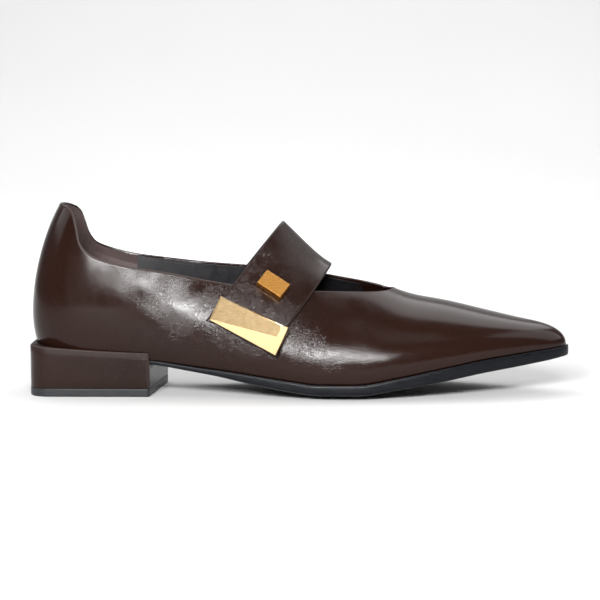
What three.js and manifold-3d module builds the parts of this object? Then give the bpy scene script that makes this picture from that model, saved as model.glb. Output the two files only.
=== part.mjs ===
// Pointed ballet flat with a low block heel, right shoe, women's EU 38.
// Millimetres, +Z up, toe towards +X, outer (lateral) side towards -Y.
// The origin is on the floor under the middle of the shoe.

import * as THREE from 'three';
import { ConvexGeometry } from 'three/addons/geometries/ConvexGeometry.js';
import { mergeVertices } from 'three/addons/utils/BufferGeometryUtils.js';
import Module from 'manifold-3d';

const wasm = await Module();
wasm.setup();

// Driving dimensions
const GAP = 0.3;
const WALL = 1.8;
const INSOLE_THICKNESS = 2.4;
const STRAP_THICKNESS = 2.0;
const TOP_PIECE_HEIGHT = 4.0;
const HEEL_BACK_X = 2.2;
const HEEL_BREAST_X = 62.6;
const HEEL_BREAST_SLANT = 5.0;
const HEEL_HALF_WIDTH = 25.6;
const HEEL_BACK_CORNER = 10;
const HEEL_BREAST_CORNER = 2;
const HEEL_EDGE_ROUND = 0.8;
const RIM_BACK_HEIGHT = 25.5;
const RIM_FRONT_HEIGHT = 22.0;
const RIM_SWEEP = 1.4;
const SEAT_CLEARANCE = 0.35;
const INSOLE_CLEARANCE = 0.7;

// The last, one row for each girth line from toe tip to back of heel.
// footX, lateral, medial: where the upper meets the sole, in plan.
// crownX, crownY, crownZ: where the line reaches the ridge of the last.
// lift, lean: how far the wall rises before it turns, and its outward lean in degrees.
// reachLat, reachMed: how far the top runs flat before it turns down each side.
// margin: how far the edge of the outsole stands outside the foot of the upper.
// spread: how far the two sides still stand apart at the top, behind the instep.
// draw: how far the outer wall is drawn in towards the topline.
const GIRTHS = [
  { footX: 271.4, lateral: 0.0, medial: 0.0, crownX: 254, crownY: 0.0, crownZ: 36.0,
    lift: 7, lean: 0, reachLat: 9, reachMed: 9, margin: 1.2, spread: 0, draw: 0 },
  { footX: 267.6, lateral: -7.0, medial: 7.2, crownX: 252, crownY: 0.0, crownZ: 36.4,
    lift: 7.5, lean: 6, reachLat: 8, reachMed: 8, margin: 1.2, spread: 0, draw: 0 },
  { footX: 257.5, lateral: -13.6, medial: 14.2, crownX: 247, crownY: 0.5, crownZ: 37.4,
    lift: 9, lean: 12, reachLat: 8.5, reachMed: 8.5, margin: 1.1, spread: 0, draw: 0 },
  { footX: 242.0, lateral: -20.6, medial: 22.2, crownX: 238, crownY: 1.5, crownZ: 39.4,
    lift: 11, lean: 16, reachLat: 12, reachMed: 10.5, margin: 1.0, spread: 0, draw: 0 },
  { footX: 222.0, lateral: -27.8, medial: 30.6, crownX: 225, crownY: 3.0, crownZ: 42.4,
    lift: 13.5, lean: 19, reachLat: 16, reachMed: 13, margin: 1.0, spread: 0, draw: 0 },
  { footX: 199.0, lateral: -33.4, medial: 36.6, crownX: 208, crownY: 4.5, crownZ: 46.1,
    lift: 16.5, lean: 21, reachLat: 20, reachMed: 15, margin: 1.0, spread: 0, draw: 0 },
  { footX: 175.0, lateral: -36.6, medial: 37.6, crownX: 190, crownY: 6.0, crownZ: 49.7,
    lift: 19, lean: 23, reachLat: 24, reachMed: 16, margin: 1.0, spread: 0, draw: 0 },
  { footX: 151.0, lateral: -36.6, medial: 33.8, crownX: 172, crownY: 7.0, crownZ: 56.4,
    lift: 21, lean: 23, reachLat: 26, reachMed: 15, margin: 1.0, spread: 0, draw: 0 },
  { footX: 127.5, lateral: -33.4, medial: 28.0, crownX: 153, crownY: 7.4, crownZ: 61.4,
    lift: 24, lean: 20, reachLat: 25, reachMed: 14, margin: 1.0, spread: 0, draw: 0 },
  { footX: 105.0, lateral: -29.2, medial: 23.8, crownX: 136, crownY: 7.0, crownZ: 75.0,
    lift: 27, lean: 17, reachLat: 22, reachMed: 13, margin: 1.0, spread: 0, draw: 2.4 },
  { footX: 83.0, lateral: -25.8, medial: 21.8, crownX: 120, crownY: 6.0, crownZ: 90.5,
    lift: 29, lean: 15, reachLat: 18, reachMed: 13, margin: 0.8, spread: 0, draw: 5 },
  { footX: 62.0, lateral: -23.6, medial: 22.0, crownX: 103, crownY: 4.0, crownZ: 104.0,
    lift: 30, lean: 16, reachLat: 15, reachMed: 13, margin: 0.0, spread: 7, draw: 5 },
  { footX: 42.0, lateral: -23.2, medial: 22.6, crownX: 84, crownY: 2.0, crownZ: 110.0,
    lift: 30, lean: 17, reachLat: 13, reachMed: 13, margin: -0.3, spread: 12.5, draw: 4 },
  { footX: 24.5, lateral: -21.8, medial: 21.4, crownX: 64, crownY: 0.5, crownZ: 112.0,
    lift: 29, lean: 18, reachLat: 14, reachMed: 14, margin: -0.3, spread: 15, draw: 2 },
  { footX: 12.6, lateral: -16.8, medial: 16.6, crownX: 45, crownY: 0.0, crownZ: 112.0,
    lift: 28, lean: 20, reachLat: 16, reachMed: 16, margin: -0.3, spread: 13, draw: 0 },
  { footX: 6.2, lateral: -9.0, medial: 9.0, crownX: 33, crownY: 0.0, crownZ: 110.0,
    lift: 27, lean: 21, reachLat: 17, reachMed: 17, margin: -0.3, spread: 7.4, draw: 0 },
  { footX: 4.4, lateral: 0.0, medial: 0.0, crownX: 28, crownY: 0.0, crownZ: 108.0,
    lift: 26, lean: 22, reachLat: 17, reachMed: 17, margin: -0.3, spread: 0, draw: 0 },
];

// The sole along its length. under: height of the middle of the underside.
// camber: how much higher its edge stands. edge: thickness at the edge.
const SOLE = [
  { x: 0, under: 20.6, camber: 0.0, edge: 2.0 },
  { x: 35, under: 17.6, camber: 0.2, edge: 2.0 },
  { x: 64, under: 15.4, camber: 0.5, edge: 2.1 },
  { x: 82, under: 12.2, camber: 1.0, edge: 2.5 },
  { x: 98, under: 9.0, camber: 1.6, edge: 3.2 },
  { x: 113, under: 5.4, camber: 2.2, edge: 4.2 },
  { x: 130, under: 2.1, camber: 2.6, edge: 4.8 },
  { x: 147, under: 0.0, camber: 2.8, edge: 4.9 },
  { x: 165, under: 0.0, camber: 2.8, edge: 5.0 },
  { x: 186, under: 3.2, camber: 2.5, edge: 5.4 },
  { x: 209, under: 7.4, camber: 1.9, edge: 6.2 },
  { x: 227, under: 11.0, camber: 1.5, edge: 6.3 },
  { x: 245, under: 14.0, camber: 0.9, edge: 6.1 },
  { x: 260, under: 16.4, camber: 0.5, edge: 5.6 },
  { x: 274, under: 18.3, camber: 0.2, edge: 5.0 },
];

// Height of the topline, seen from the side, from the back tab to the throat.
const TOPLINE = [
  { x: 0, lateral: 97.0, medial: 97.0 },
  { x: 16, lateral: 95.2, medial: 95.2 },
  { x: 21.5, lateral: 93.4, medial: 93.0 },
  { x: 24, lateral: 90.0, medial: 90.2 },
  { x: 25.7, lateral: 84.6, medial: 84.8 },
  { x: 27.4, lateral: 77.2, medial: 79.2 },
  { x: 31, lateral: 72.2, medial: 74.0 },
  { x: 36, lateral: 69.2, medial: 71.6 },
  { x: 43, lateral: 66.9, medial: 69.4 },
  { x: 52, lateral: 64.9, medial: 67.4 },
  { x: 70, lateral: 61.9, medial: 65.3 },
  { x: 90, lateral: 58.1, medial: 63.4 },
  { x: 110, lateral: 55.0, medial: 62.0 },
  { x: 130, lateral: 53.3, medial: 60.4 },
  { x: 150, lateral: 52.3, medial: 58.2 },
  { x: 165, lateral: 51.9, medial: 55.6 },
  { x: 176, lateral: 51.6, medial: 53.4 },
  { x: 182.5, lateral: 51.8, medial: 51.8 },
  { x: 195, lateral: 53.3, medial: 53.3 },
  { x: 230, lateral: 60.8, medial: 60.8 },
];

const LAST_GIRTH = GIRTHS.length - 1;

// A smooth closed curve through one value for each whole station, both sides in turn.
// Each side may take its column as it is, turned round or not at all.
function ringCurve(medialColumn, lateralColumn, takes = { medial: 1, lateral: 1 }) {
  const medial = GIRTHS.map((row) => takes.medial * row[medialColumn]);
  const lateral = GIRTHS.map((row) => takes.lateral * row[lateralColumn]);
  const values = [...medial, ...lateral.slice(1, LAST_GIRTH).reverse()];
  const count = values.length;
  const weights = [...values];
  const SWEEPS = 60;
  for (let sweep = 0; sweep < SWEEPS; sweep += 1) {
    for (let i = 0; i < count; i += 1) {
      const before = weights[(i + count - 1) % count];
      const after = weights[(i + 1) % count];
      weights[i] = (6 * values[i] - before - after) / 4;
    }
  }
  return (station) => {
    const place = ((station % count) + count) % count;
    const i = Math.floor(place);
    const f = place - i;
    const share = [
      (1 - f) ** 3,
      3 * f ** 3 - 6 * f ** 2 + 4,
      -3 * f ** 3 + 3 * f ** 2 + 3 * f + 1,
      f ** 3,
    ];
    let sum = 0;
    share.forEach((part, k) => {
      sum += part * weights[(i + k - 1 + count) % count];
    });
    return sum / 6;
  };
}

// A curve through a table's rows that never swings past them.
function railCurve(rows, column) {
  const x = rows.map((row) => row.x);
  const y = rows.map((row) => row[column]);
  const last = x.length - 1;
  const rise = (i) => (y[i + 1] - y[i]) / (x[i + 1] - x[i]);
  const slope = x.map((_, i) => {
    if (i === 0 || i === last) return 0;
    const before = rise(i - 1);
    const after = rise(i);
    return before * after > 0 ? (2 * before * after) / (before + after) : 0;
  });
  return (at) => {
    const place = Math.min(Math.max(at, x[0]), x[last]);
    let i = 0;
    while (i < last - 1 && place > x[i + 1]) i += 1;
    const step = x[i + 1] - x[i];
    const f = (place - x[i]) / step;
    const g = 1 - f;
    return y[i] * g * g * (1 + 2 * f) + y[i + 1] * f * f * (1 + 2 * g)
      + slope[i] * step * f * g * g - slope[i + 1] * step * f * f * g;
  };
}

const footX = ringCurve('footX', 'footX');
const footY = ringCurve('medial', 'lateral');
const crownX = ringCurve('crownX', 'crownX');
const crownY = ringCurve('crownY', 'crownY');
const crownZ = ringCurve('crownZ', 'crownZ');
const lift = ringCurve('lift', 'lift');
const lean = ringCurve('lean', 'lean');
const reach = ringCurve('reachMed', 'reachLat');
const margin = ringCurve('margin', 'margin');
const spread = ringCurve('spread', 'spread', { medial: 1, lateral: -1 });
const draw = ringCurve('draw', 'draw', { medial: 0, lateral: 1 });

const soleUnder = railCurve(SOLE, 'under');
const soleCamber = railCurve(SOLE, 'camber');
const soleEdge = railCurve(SOLE, 'edge');
const toplineLateral = railCurve(TOPLINE, 'lateral');
const toplineMedial = railCurve(TOPLINE, 'medial');

// How far across the sole its middle lies flat, from the centre to the edge.
const FLAT_SHARE = 0.45;

// Underside of the outsole; across runs from 0 in the middle to 1 at the edge.
function undersideHeight(x, across) {
  const turn = Math.max(0, (across - FLAT_SHARE) / (1 - FLAT_SHARE));
  return soleUnder(x) + soleCamber(x) * turn * turn;
}

// Upper face of the outsole, dished by this share of the camber.
const DISH_SHARE = 0.5;

function footbedHeight(x, across) {
  const dish = 1 - DISH_SHARE + DISH_SHARE * across * across;
  return soleUnder(x) + soleCamber(x) * dish + soleEdge(x);
}

// Outward direction of the foot line, in plan.
function outward(station) {
  const step = 0.01;
  const dx = footX(station + step) - footX(station - step);
  const dy = footY(station + step) - footY(station - step);
  return new THREE.Vector3(dy, -dx, 0).normalize();
}

// Slope of the ridge of the last at a station.
function crownSlope(station) {
  const step = 0.005;
  const at = THREE.MathUtils.clamp(Math.abs(station), 2 * step, LAST_GIRTH - 2 * step);
  return (crownZ(at + step) - crownZ(at - step)) / (crownX(at + step) - crownX(at - step));
}

// The ridge ends behind the instep, where the last opens out for the ankle.
const RIDGE_END = 9.8;
const ANKLE_START = 12;

// Where on a girth line the wall starts to be drawn in, and where it is drawn in most.
const DRAW_START = 0.22;
const DRAW_FULL = 0.62;

function crownPoint(station) {
  const opened = THREE.MathUtils.smoothstep(Math.abs(station), RIDGE_END, ANKLE_START);
  const y = crownY(station) + opened * spread(station);
  return new THREE.Vector3(crownX(station), y, crownZ(station));
}

// A point on the last: station from -16 to 16 (lateral is negative), rise from 0 to 1.
function lastPoint(station, rise) {
  const foot = new THREE.Vector3(footX(station), footY(station), 0);
  foot.z = footbedHeight(foot.x, 1) + GAP;
  const crown = crownPoint(station);
  const tilt = THREE.MathUtils.degToRad(lean(station));
  const wall = outward(station).multiplyScalar(Math.sin(tilt) * lift(station));
  wall.z = Math.cos(tilt) * lift(station);
  const inward = new THREE.Vector3(crown.x - foot.x, crown.y - foot.y, 0).normalize();
  inward.z = inward.x * crownSlope(station);
  inward.multiplyScalar(reach(station));
  const drawn = THREE.MathUtils.smoothstep(rise, DRAW_START, DRAW_FULL)
    * (1 - THREE.MathUtils.smoothstep(rise, DRAW_FULL, 1));
  return new THREE.CubicBezierCurve3(foot, foot.clone().add(wall), crown.clone().sub(inward), crown)
    .getPoint(rise)
    .addScaledVector(outward(station), -draw(station) * drawn);
}

// Outward normal of the last; on the ridge it follows the slope of the ridge.
const RIDGE_RISE = 0.999;

function lastNormal(station, rise) {
  if (rise > RIDGE_RISE) {
    return new THREE.Vector3(-crownSlope(station), 0, 1).normalize();
  }
  const step = 0.004;
  const low = Math.max(0, rise - step);
  const along = lastPoint(station + step, rise).sub(lastPoint(station - step, rise));
  const up = lastPoint(station, rise + step).sub(lastPoint(station, low));
  return along.cross(up).normalize();
}

function skinPoint(station, rise, offset) {
  return lastPoint(station, rise).addScaledVector(lastNormal(station, rise), offset);
}

// Where a test that holds at the low end stops holding.
function halve(holds, from, to) {
  let low = from;
  let high = to;
  const HALVINGS = 36;
  for (let i = 0; i < HALVINGS; i += 1) {
    const middle = (low + high) / 2;
    if (holds(middle)) low = middle;
    else high = middle;
  }
  return (low + high) / 2;
}

// Share of a girth line that lies below the topline; 1 on the closed vamp.
function toplineRise(station) {
  const topline = station < 0 ? toplineLateral : toplineMedial;
  const isBelow = (rise) => {
    const point = lastPoint(station, rise);
    return point.z < topline(point.x);
  };
  return isBelow(1) ? 1 : halve(isBelow, 0, 1);
}

// Station at which the ridge of the vamp opens into the throat.
function throatStation() {
  return halve((station) => crownZ(station) < toplineMedial(crownX(station)), 0, LAST_GIRTH);
}

// Stations of the mesh columns on one side, closer together at the tip of the throat.
const VAMP_COLUMNS = 15;
const QUARTER_COLUMNS = 26;
const CROWDED_SHARE = 0.25;
const THROAT = throatStation();
const sideStations = [];
for (let i = 0; i < VAMP_COLUMNS; i += 1) {
  sideStations.push((THROAT * i) / VAMP_COLUMNS);
}
for (let i = 0; i <= QUARTER_COLUMNS; i += 1) {
  const share = i / QUARTER_COLUMNS;
  const evenStep = (1 - CROWDED_SHARE / 2) / (1 - CROWDED_SHARE);
  const eased = share < CROWDED_SHARE
    ? (share * share) / (2 * CROWDED_SHARE)
    : CROWDED_SHARE / 2 + (share - CROWDED_SHARE) * evenStep;
  sideStations.push(THROAT + (LAST_GIRTH - THROAT) * eased);
}
const ringStations = [
  ...sideStations,
  ...sideStations.slice(1, -1).reverse().map((station) => -station),
];

// Points nearer than this become one.
const WELD = 1e-3;

// A closed body from points and triangles.
function closedBody(points, triangles) {
  const loose = new THREE.BufferGeometry();
  const places = new Float32Array(points.length * 3);
  points.forEach((point, i) => point.toArray(places, i * 3));
  loose.setAttribute('position', new THREE.BufferAttribute(places, 3));
  loose.setIndex(triangles.flat());
  const merged = mergeVertices(loose, WELD);
  const index = merged.getIndex().array;
  const kept = [];
  for (let i = 0; i < index.length; i += 3) {
    const [a, b, c] = index.slice(i, i + 3);
    if (a !== b && b !== c && c !== a) kept.push(a, b, c);
  }
  merged.setIndex(kept);
  merged.computeVertexNormals();
  return merged;
}

// Quads between neighbouring columns of points, split into triangles.
function weave(columns, options) {
  const rows = columns[0].length;
  const columnCount = options.closedColumns ? columns.length : columns.length - 1;
  const rowCount = options.closedRows ? rows : rows - 1;
  const triangles = [];
  for (let j = 0; j < columnCount; j += 1) {
    for (let i = 0; i < rowCount; i += 1) {
      if (options.skip && options.skip(j, i)) continue;
      const next = (j + 1) % columns.length;
      const above = (i + 1) % rows;
      const a = j * rows + i;
      const b = next * rows + i;
      const c = next * rows + above;
      const d = j * rows + above;
      triangles.push([a, b, c], [a, c, d]);
    }
  }
  return triangles;
}

// A body whose columns of points stand around the shoe, from the middle below to the middle above.
function ringBody(columns) {
  return closedBody(columns.flat(), weave(columns, { closedColumns: true }));
}

// The upper: one shell on the last, open underneath and at the topline.
const WALL_ROWS = 13;

function upperGeometry() {
  const columns = ringStations.map((station) => {
    const top = Math.abs(station) <= THROAT ? 1 : toplineRise(station);
    const outer = [];
    const inner = [];
    for (let i = 0; i <= WALL_ROWS; i += 1) {
      const rise = (top * i) / WALL_ROWS;
      outer.push(skinPoint(station, rise, 0));
      inner.push(skinPoint(station, rise, -WALL));
    }
    const foot = outer[0];
    inner[0] = foot.clone().addScaledVector(outward(station), -WALL);
    return [...outer, ...inner.reverse()];
  });
  const isVamp = (j) => {
    const next = (j + 1) % ringStations.length;
    return Math.abs(ringStations[j]) <= THROAT && Math.abs(ringStations[next]) <= THROAT;
  };
  const triangles = weave(columns, {
    closedColumns: true,
    closedRows: true,
    skip: (j, i) => i === WALL_ROWS && isVamp(j),
  });
  return closedBody(columns.flat(), triangles);
}

// Ends of the middle line that plates fan out from.
const HEEL_POLE = 24;
const TOE_POLE = 248;

// Steps across a plate from its middle line to its edge.
const PLATE_STEPS = [0, FLAT_SHARE, 0.8, 1];

// A point of a plate, part of the way from the middle line to an edge beside the foot line.
function platePoint(station, across, beyond, height) {
  const edge = new THREE.Vector3(footX(station), footY(station), 0);
  edge.addScaledVector(outward(station), beyond);
  const spine = new THREE.Vector3(THREE.MathUtils.clamp(footX(station), HEEL_POLE, TOE_POLE), 0, 0);
  const point = spine.lerp(edge, across);
  point.z = height(point.x, across);
  return point;
}

// Outsole: one moulded plate, cambered underneath, its side slightly rounded.
const SOLE_SIDE_ROUND = 0.5;
const SOLE_UNDER_STEPS = [0, 0.25, FLAT_SHARE, 0.7, 0.88];
const SOLE_TOP_STEPS = [0.85, FLAT_SHARE, 0];
const SOLE_SIDE_STEPS = [1 / 3, 2 / 3];

function outsoleGeometry() {
  const columns = ringStations.map((station) => {
    const beyond = margin(station);
    const under = SOLE_UNDER_STEPS
      .map((across) => platePoint(station, across, beyond, undersideHeight));
    const top = SOLE_TOP_STEPS
      .map((across) => platePoint(station, across, beyond, footbedHeight));
    const low = platePoint(station, 1, beyond - SOLE_SIDE_ROUND, undersideHeight);
    const high = platePoint(station, 1, beyond - SOLE_SIDE_ROUND / 2, footbedHeight);
    const side = SOLE_SIDE_STEPS.map((share) => {
      const point = platePoint(station, 1, beyond, undersideHeight);
      point.z = THREE.MathUtils.lerp(low.z, high.z, share);
      return point;
    });
    return [...under, low, ...side, high, ...top];
  });
  return ringBody(columns);
}

// Insole: a padded board on the outsole, inside the wall of the upper.
function insoleGeometry() {
  const beyond = -WALL - INSOLE_CLEARANCE;
  const bottom = (x, across) => footbedHeight(x, across) + GAP;
  const face = (x, across) => bottom(x, across) + INSOLE_THICKNESS;
  const columns = ringStations.map((station) => [
    ...PLATE_STEPS.map((across) => platePoint(station, across, beyond, bottom)),
    ...PLATE_STEPS.toReversed().map((across) => platePoint(station, across, beyond, face)),
  ]);
  return ringBody(columns);
}

// Plan of the heel: straight sides, rounded back corners, a slanted breast.
function heelPlan(inset) {
  const back = HEEL_BACK_X + inset;
  const side = HEEL_HALF_WIDTH - inset;
  const lateralFront = HEEL_BREAST_X - inset;
  const medialFront = lateralFront + HEEL_BREAST_SLANT;
  const round = HEEL_BACK_CORNER - inset;
  const nick = HEEL_BREAST_CORNER;
  const plan = new THREE.Shape();
  plan.moveTo(back + round, -side);
  plan.lineTo(lateralFront - nick, -side);
  plan.quadraticCurveTo(lateralFront, -side, lateralFront, -side + nick);
  plan.lineTo(medialFront, side - nick);
  plan.quadraticCurveTo(medialFront, side, medialFront - nick, side);
  plan.lineTo(back + round, side);
  plan.absarc(back + round, side - round, round, Math.PI / 2, Math.PI, false);
  plan.absarc(back + round, -side + round, round, Math.PI, 1.5 * Math.PI, false);
  const CURVE_STEPS = 9;
  const points = plan.getPoints(CURVE_STEPS);
  return points.filter((point, i) => i === 0 || point.distanceTo(points[i - 1]) > WELD)
    .filter((point, i, all) => i < all.length - 1 || point.distanceTo(all[0]) > WELD);
}

// A block between two heights with small chamfers round its edges.
function heelBlank(bottom, top, round) {
  const levels = [
    { inset: round, height: () => bottom },
    { inset: 0, height: () => bottom + round },
    { inset: 0, height: (x) => top(x) - round },
    { inset: round, height: (x) => top(x) },
  ];
  const rings = levels.map((level) => heelPlan(level.inset)
    .map((point) => new THREE.Vector3(point.x, point.y, level.height(point.x))));
  const centreX = (HEEL_BACK_X + HEEL_BREAST_X) / 2;
  const columns = rings[0].map((_, j) => [
    new THREE.Vector3(centreX, 0, bottom),
    ...rings.map((ring) => ring[j]),
    new THREE.Vector3(centreX, 0, top(centreX)),
  ]);
  return ringBody(columns);
}

const TOP_PIECE_EDGE = 0.4;

function topPieceGeometry() {
  return heelBlank(0, () => TOP_PIECE_HEIGHT, TOP_PIECE_EDGE);
}

// Top of the rim that stands up round the seat.
function rimHeight(x) {
  const share = THREE.MathUtils.clamp((x - HEEL_BACK_X) / (HEEL_BREAST_X - HEEL_BACK_X), 0, 1);
  return RIM_FRONT_HEIGHT + (RIM_BACK_HEIGHT - RIM_FRONT_HEIGHT) * (1 - share) ** RIM_SWEEP;
}

// Room that the heel leaves for the upper and the sole: a floor, then walls that flare.
const SEAT_WALL = [
  { rise: 0.03, offset: SEAT_CLEARANCE },
  { rise: 0.06, offset: SEAT_CLEARANCE + 0.5 },
  { rise: 0.1, offset: SEAT_CLEARANCE + 1.4 },
  { rise: 0.2, offset: SEAT_CLEARANCE + 2.5 },
];

// Height of the top of that room above the underside of the sole.
const SEAT_LID = 16;

function seatGeometry() {
  const floor = (x, across) => undersideHeight(x, across) - GAP;
  const beyond = SEAT_CLEARANCE;
  const columns = ringStations.map((station) => {
    const base = PLATE_STEPS
      .map((across) => platePoint(station, across, Math.max(beyond, margin(station) + beyond), floor));
    const walls = SEAT_WALL.map((step) => skinPoint(station, step.rise, step.offset));
    const lid = platePoint(station, 0, 0, (x) => undersideHeight(x, 1) + SEAT_LID);
    return [...base, ...walls, lid];
  });
  return ringBody(columns);
}

function toManifold(geometry) {
  return new wasm.Manifold(new wasm.Mesh({
    numProp: 3,
    vertProperties: new Float32Array(geometry.getAttribute('position').array),
    triVerts: new Uint32Array(geometry.getIndex().array),
  }));
}

function fromManifold(solid) {
  const mesh = solid.getMesh();
  const geometry = new THREE.BufferGeometry();
  geometry.setAttribute('position', new THREE.BufferAttribute(mesh.vertProperties, 3));
  geometry.setIndex(new THREE.BufferAttribute(mesh.triVerts, 1));
  geometry.computeVertexNormals();
  return geometry;
}

// Heel block: leather-covered, cut out on top for the seat so that a rim stands round it.
function heelBlockGeometry() {
  const blank = toManifold(heelBlank(TOP_PIECE_HEIGHT + GAP, rimHeight, HEEL_EDGE_ROUND));
  return fromManifold(blank.subtract(toManifold(seatGeometry())));
}

// The strap: a wide band across the instep, its edges in two parallel raked planes.
// STRAP_RAKE is how far the band leans forward for each millimetre of height, and
// STRAP_FRONT and STRAP_BACK are where its edges would meet the floor.
const STRAP_RAKE = 0.78;
const STRAP_FRONT = 103.5;
const STRAP_BACK = 61.2;
const STRAP_LATERAL_END = 0.235;
const STRAP_MEDIAL_END = 0.26;
const STRAP_WIDTH_STEPS = 7;
const STRAP_LENGTH_STEPS = 30;

// A point on the strap: along from -1 (lateral end) through 0 (ridge) to 1 (medial end).
function strapPoint(along, across, offset) {
  const side = along < 0 ? -1 : 1;
  const end = along < 0 ? STRAP_LATERAL_END : STRAP_MEDIAL_END;
  const rise = 1 - Math.abs(along) * (1 - end);
  const footing = THREE.MathUtils.lerp(STRAP_FRONT, STRAP_BACK, across);
  const isAhead = (station) => {
    const point = lastPoint(side * station, rise);
    return point.x - STRAP_RAKE * point.z > footing;
  };
  const station = halve(isAhead, 0, LAST_GIRTH);
  return skinPoint(side * station, rise, GAP + offset);
}

function strapGeometry() {
  const columns = [];
  for (let k = 0; k <= STRAP_LENGTH_STEPS; k += 1) {
    const along = -1 + (2 * k) / STRAP_LENGTH_STEPS;
    const inner = [];
    const outer = [];
    for (let i = 0; i <= STRAP_WIDTH_STEPS; i += 1) {
      const across = i / STRAP_WIDTH_STEPS;
      inner.push(strapPoint(along, across, 0));
      outer.push(strapPoint(along, across, STRAP_THICKNESS));
    }
    columns.push([...outer, ...inner.reverse()]);
  }
  const triangles = weave(columns, { closedRows: true });
  const rows = columns[0].length;
  const lastStart = (columns.length - 1) * rows;
  for (let i = 0; i < STRAP_WIDTH_STEPS; i += 1) {
    const a = i;
    const b = i + 1;
    const c = rows - 2 - i;
    const d = rows - 1 - i;
    triangles.push([a, b, c], [a, c, d]);
    triangles.push([lastStart + c, lastStart + b, lastStart + a]);
    triangles.push([lastStart + d, lastStart + c, lastStart + a]);
  }
  return closedBody(columns.flat(), triangles);
}

// Places on the strap under an ornament, beside its own place along and from edge to edge across.
const PROBES_ALONG = [-0.12, -0.06, 0, 0.06, 0.12];
const PROBES_ACROSS = [0, 0.25, 0.5, 0.75, 1];
const AXIS_STEP = 0.1;

// Axes of a flat-backed ornament at a place on the strap, lifted clear of the curve below it.
function strapSeat(along, across, turn, halfLength, halfWidth) {
  const centre = strapPoint(along, across, STRAP_THICKNESS);
  const out = strapPoint(along, across, STRAP_THICKNESS + 1).sub(centre).normalize();
  const front = strapPoint(along, Math.max(0, across - AXIS_STEP), STRAP_THICKNESS).sub(centre);
  front.addScaledVector(out, -front.dot(out)).normalize();
  front.applyAxisAngle(out, turn);
  const up = new THREE.Vector3().crossVectors(out, front).normalize();
  let height = 0;
  for (const stepAlong of PROBES_ALONG) {
    for (const share of PROBES_ACROSS) {
      const spot = strapPoint(Math.max(-1, along + stepAlong), share, STRAP_THICKNESS).sub(centre);
      const inside = Math.abs(spot.dot(front)) < halfLength && Math.abs(spot.dot(up)) < halfWidth;
      if (inside) height = Math.max(height, spot.dot(out));
    }
  }
  const basis = new THREE.Matrix4().makeBasis(front, up, out);
  basis.setPosition(centre.addScaledVector(out, height + GAP));
  return basis;
}

// Gold bar: a cast wedge over the end of the strap. Its back is flat; its face tilts down to one
// long cut facet below and a short one at the front end.
// x runs to the front along the bar, y up across it, z out from the strap.
const BAR_LENGTH = 38;
const BAR_BACK_WIDTH = 13;
const BAR_FRONT_WIDTH = 15;
const BAR_THICKNESS = 5.6;
const BAR_FACETS = [
  { x: -18.9, y: -6.4, z: 1.31 },
  { x: 18.6, y: -8.3, z: 1.75 },
  { x: 18.8, y: 6.3, z: 4.93 },
  { x: -18.8, y: 6.3, z: 3.05 },
  { x: -17.9, y: 5.9, z: 3.9 },
  { x: 16.0, y: 5.9, z: BAR_THICKNESS },
  { x: 15.6, y: 0.0, z: 4.39 },
  { x: -18.2, y: -5.7, z: 1.56 },
];

function barGeometry() {
  const half = BAR_LENGTH / 2;
  const upper = BAR_BACK_WIDTH / 2;
  const back = [
    { x: -half, y: -upper, z: 0 },
    { x: half, y: upper - BAR_FRONT_WIDTH, z: 0 },
    { x: half, y: upper, z: 0 },
    { x: -half, y: upper, z: 0 },
  ];
  return new ConvexGeometry([...back, ...BAR_FACETS].map(({ x, y, z }) => new THREE.Vector3(x, y, z)));
}

// Gold stud: a small rectangular block beside the bar.
const STUD_LENGTH = 14.6;
const STUD_WIDTH = 9.6;
const STUD_HEIGHT = 3.4;
const STUD_TAPER = 0.5;

function studGeometry() {
  const points = [];
  for (const sideX of [-1, 1]) {
    for (const sideY of [-1, 1]) {
      const x = (sideX * STUD_LENGTH) / 2;
      const y = (sideY * STUD_WIDTH) / 2;
      points.push(new THREE.Vector3(x, y, 0));
      points.push(new THREE.Vector3(x - sideX * STUD_TAPER, y - sideY * STUD_TAPER, STUD_HEIGHT));
    }
  }
  return new ConvexGeometry(points);
}

// Places of the ornaments along and across the strap, and their turn in radians.
const BAR_PLACE = { along: -0.949, across: 0.45, turn: -0.075 };
const STUD_PLACE = { along: -0.651, across: 0.514, turn: 0.02 };

// Finish of each kind of piece.
const FINISHES = {
  soleResin: { color: '#1b1e20', roughness: 0.35, metalness: 0 },
  heelRubber: { color: '#1e2224', roughness: 0.45, metalness: 0 },
  heelCalf: { color: '#33211c', roughness: 0.3, metalness: 0 },
  sockLeather: { color: '#2a2422', roughness: 0.6, metalness: 0 },
  upperCalf: { color: '#35221d', roughness: 0.28, metalness: 0 },
  strapCalf: { color: '#35221d', roughness: 0.3, metalness: 0 },
  paleGold: { color: '#d6b27c', roughness: 0.25, metalness: 1 },
  deepGold: { color: '#c28a3c', roughness: 0.3, metalness: 1 },
};

const shoe = new THREE.Group();

function addPart(name, geometry, finish) {
  const mesh = new THREE.Mesh(geometry, new THREE.MeshStandardMaterial(finish));
  mesh.name = name;
  shoe.add(mesh);
  return mesh;
}

addPart('outsole', outsoleGeometry(), FINISHES.soleResin);
addPart('heel_top_piece', topPieceGeometry(), FINISHES.heelRubber);
addPart('heel_block', heelBlockGeometry(), FINISHES.heelCalf);
addPart('insole', insoleGeometry(), FINISHES.sockLeather);
addPart('upper', upperGeometry(), FINISHES.upperCalf);
addPart('strap', strapGeometry(), FINISHES.strapCalf);

const bar = addPart('strap_bar', barGeometry(), FINISHES.paleGold);
bar.applyMatrix4(strapSeat(
  BAR_PLACE.along, BAR_PLACE.across, BAR_PLACE.turn, BAR_LENGTH / 2, BAR_FRONT_WIDTH / 2,
));

const stud = addPart('strap_stud', studGeometry(), FINISHES.deepGold);
stud.applyMatrix4(strapSeat(
  STUD_PLACE.along, STUD_PLACE.across, STUD_PLACE.turn, STUD_LENGTH / 2, STUD_WIDTH / 2,
));

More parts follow.
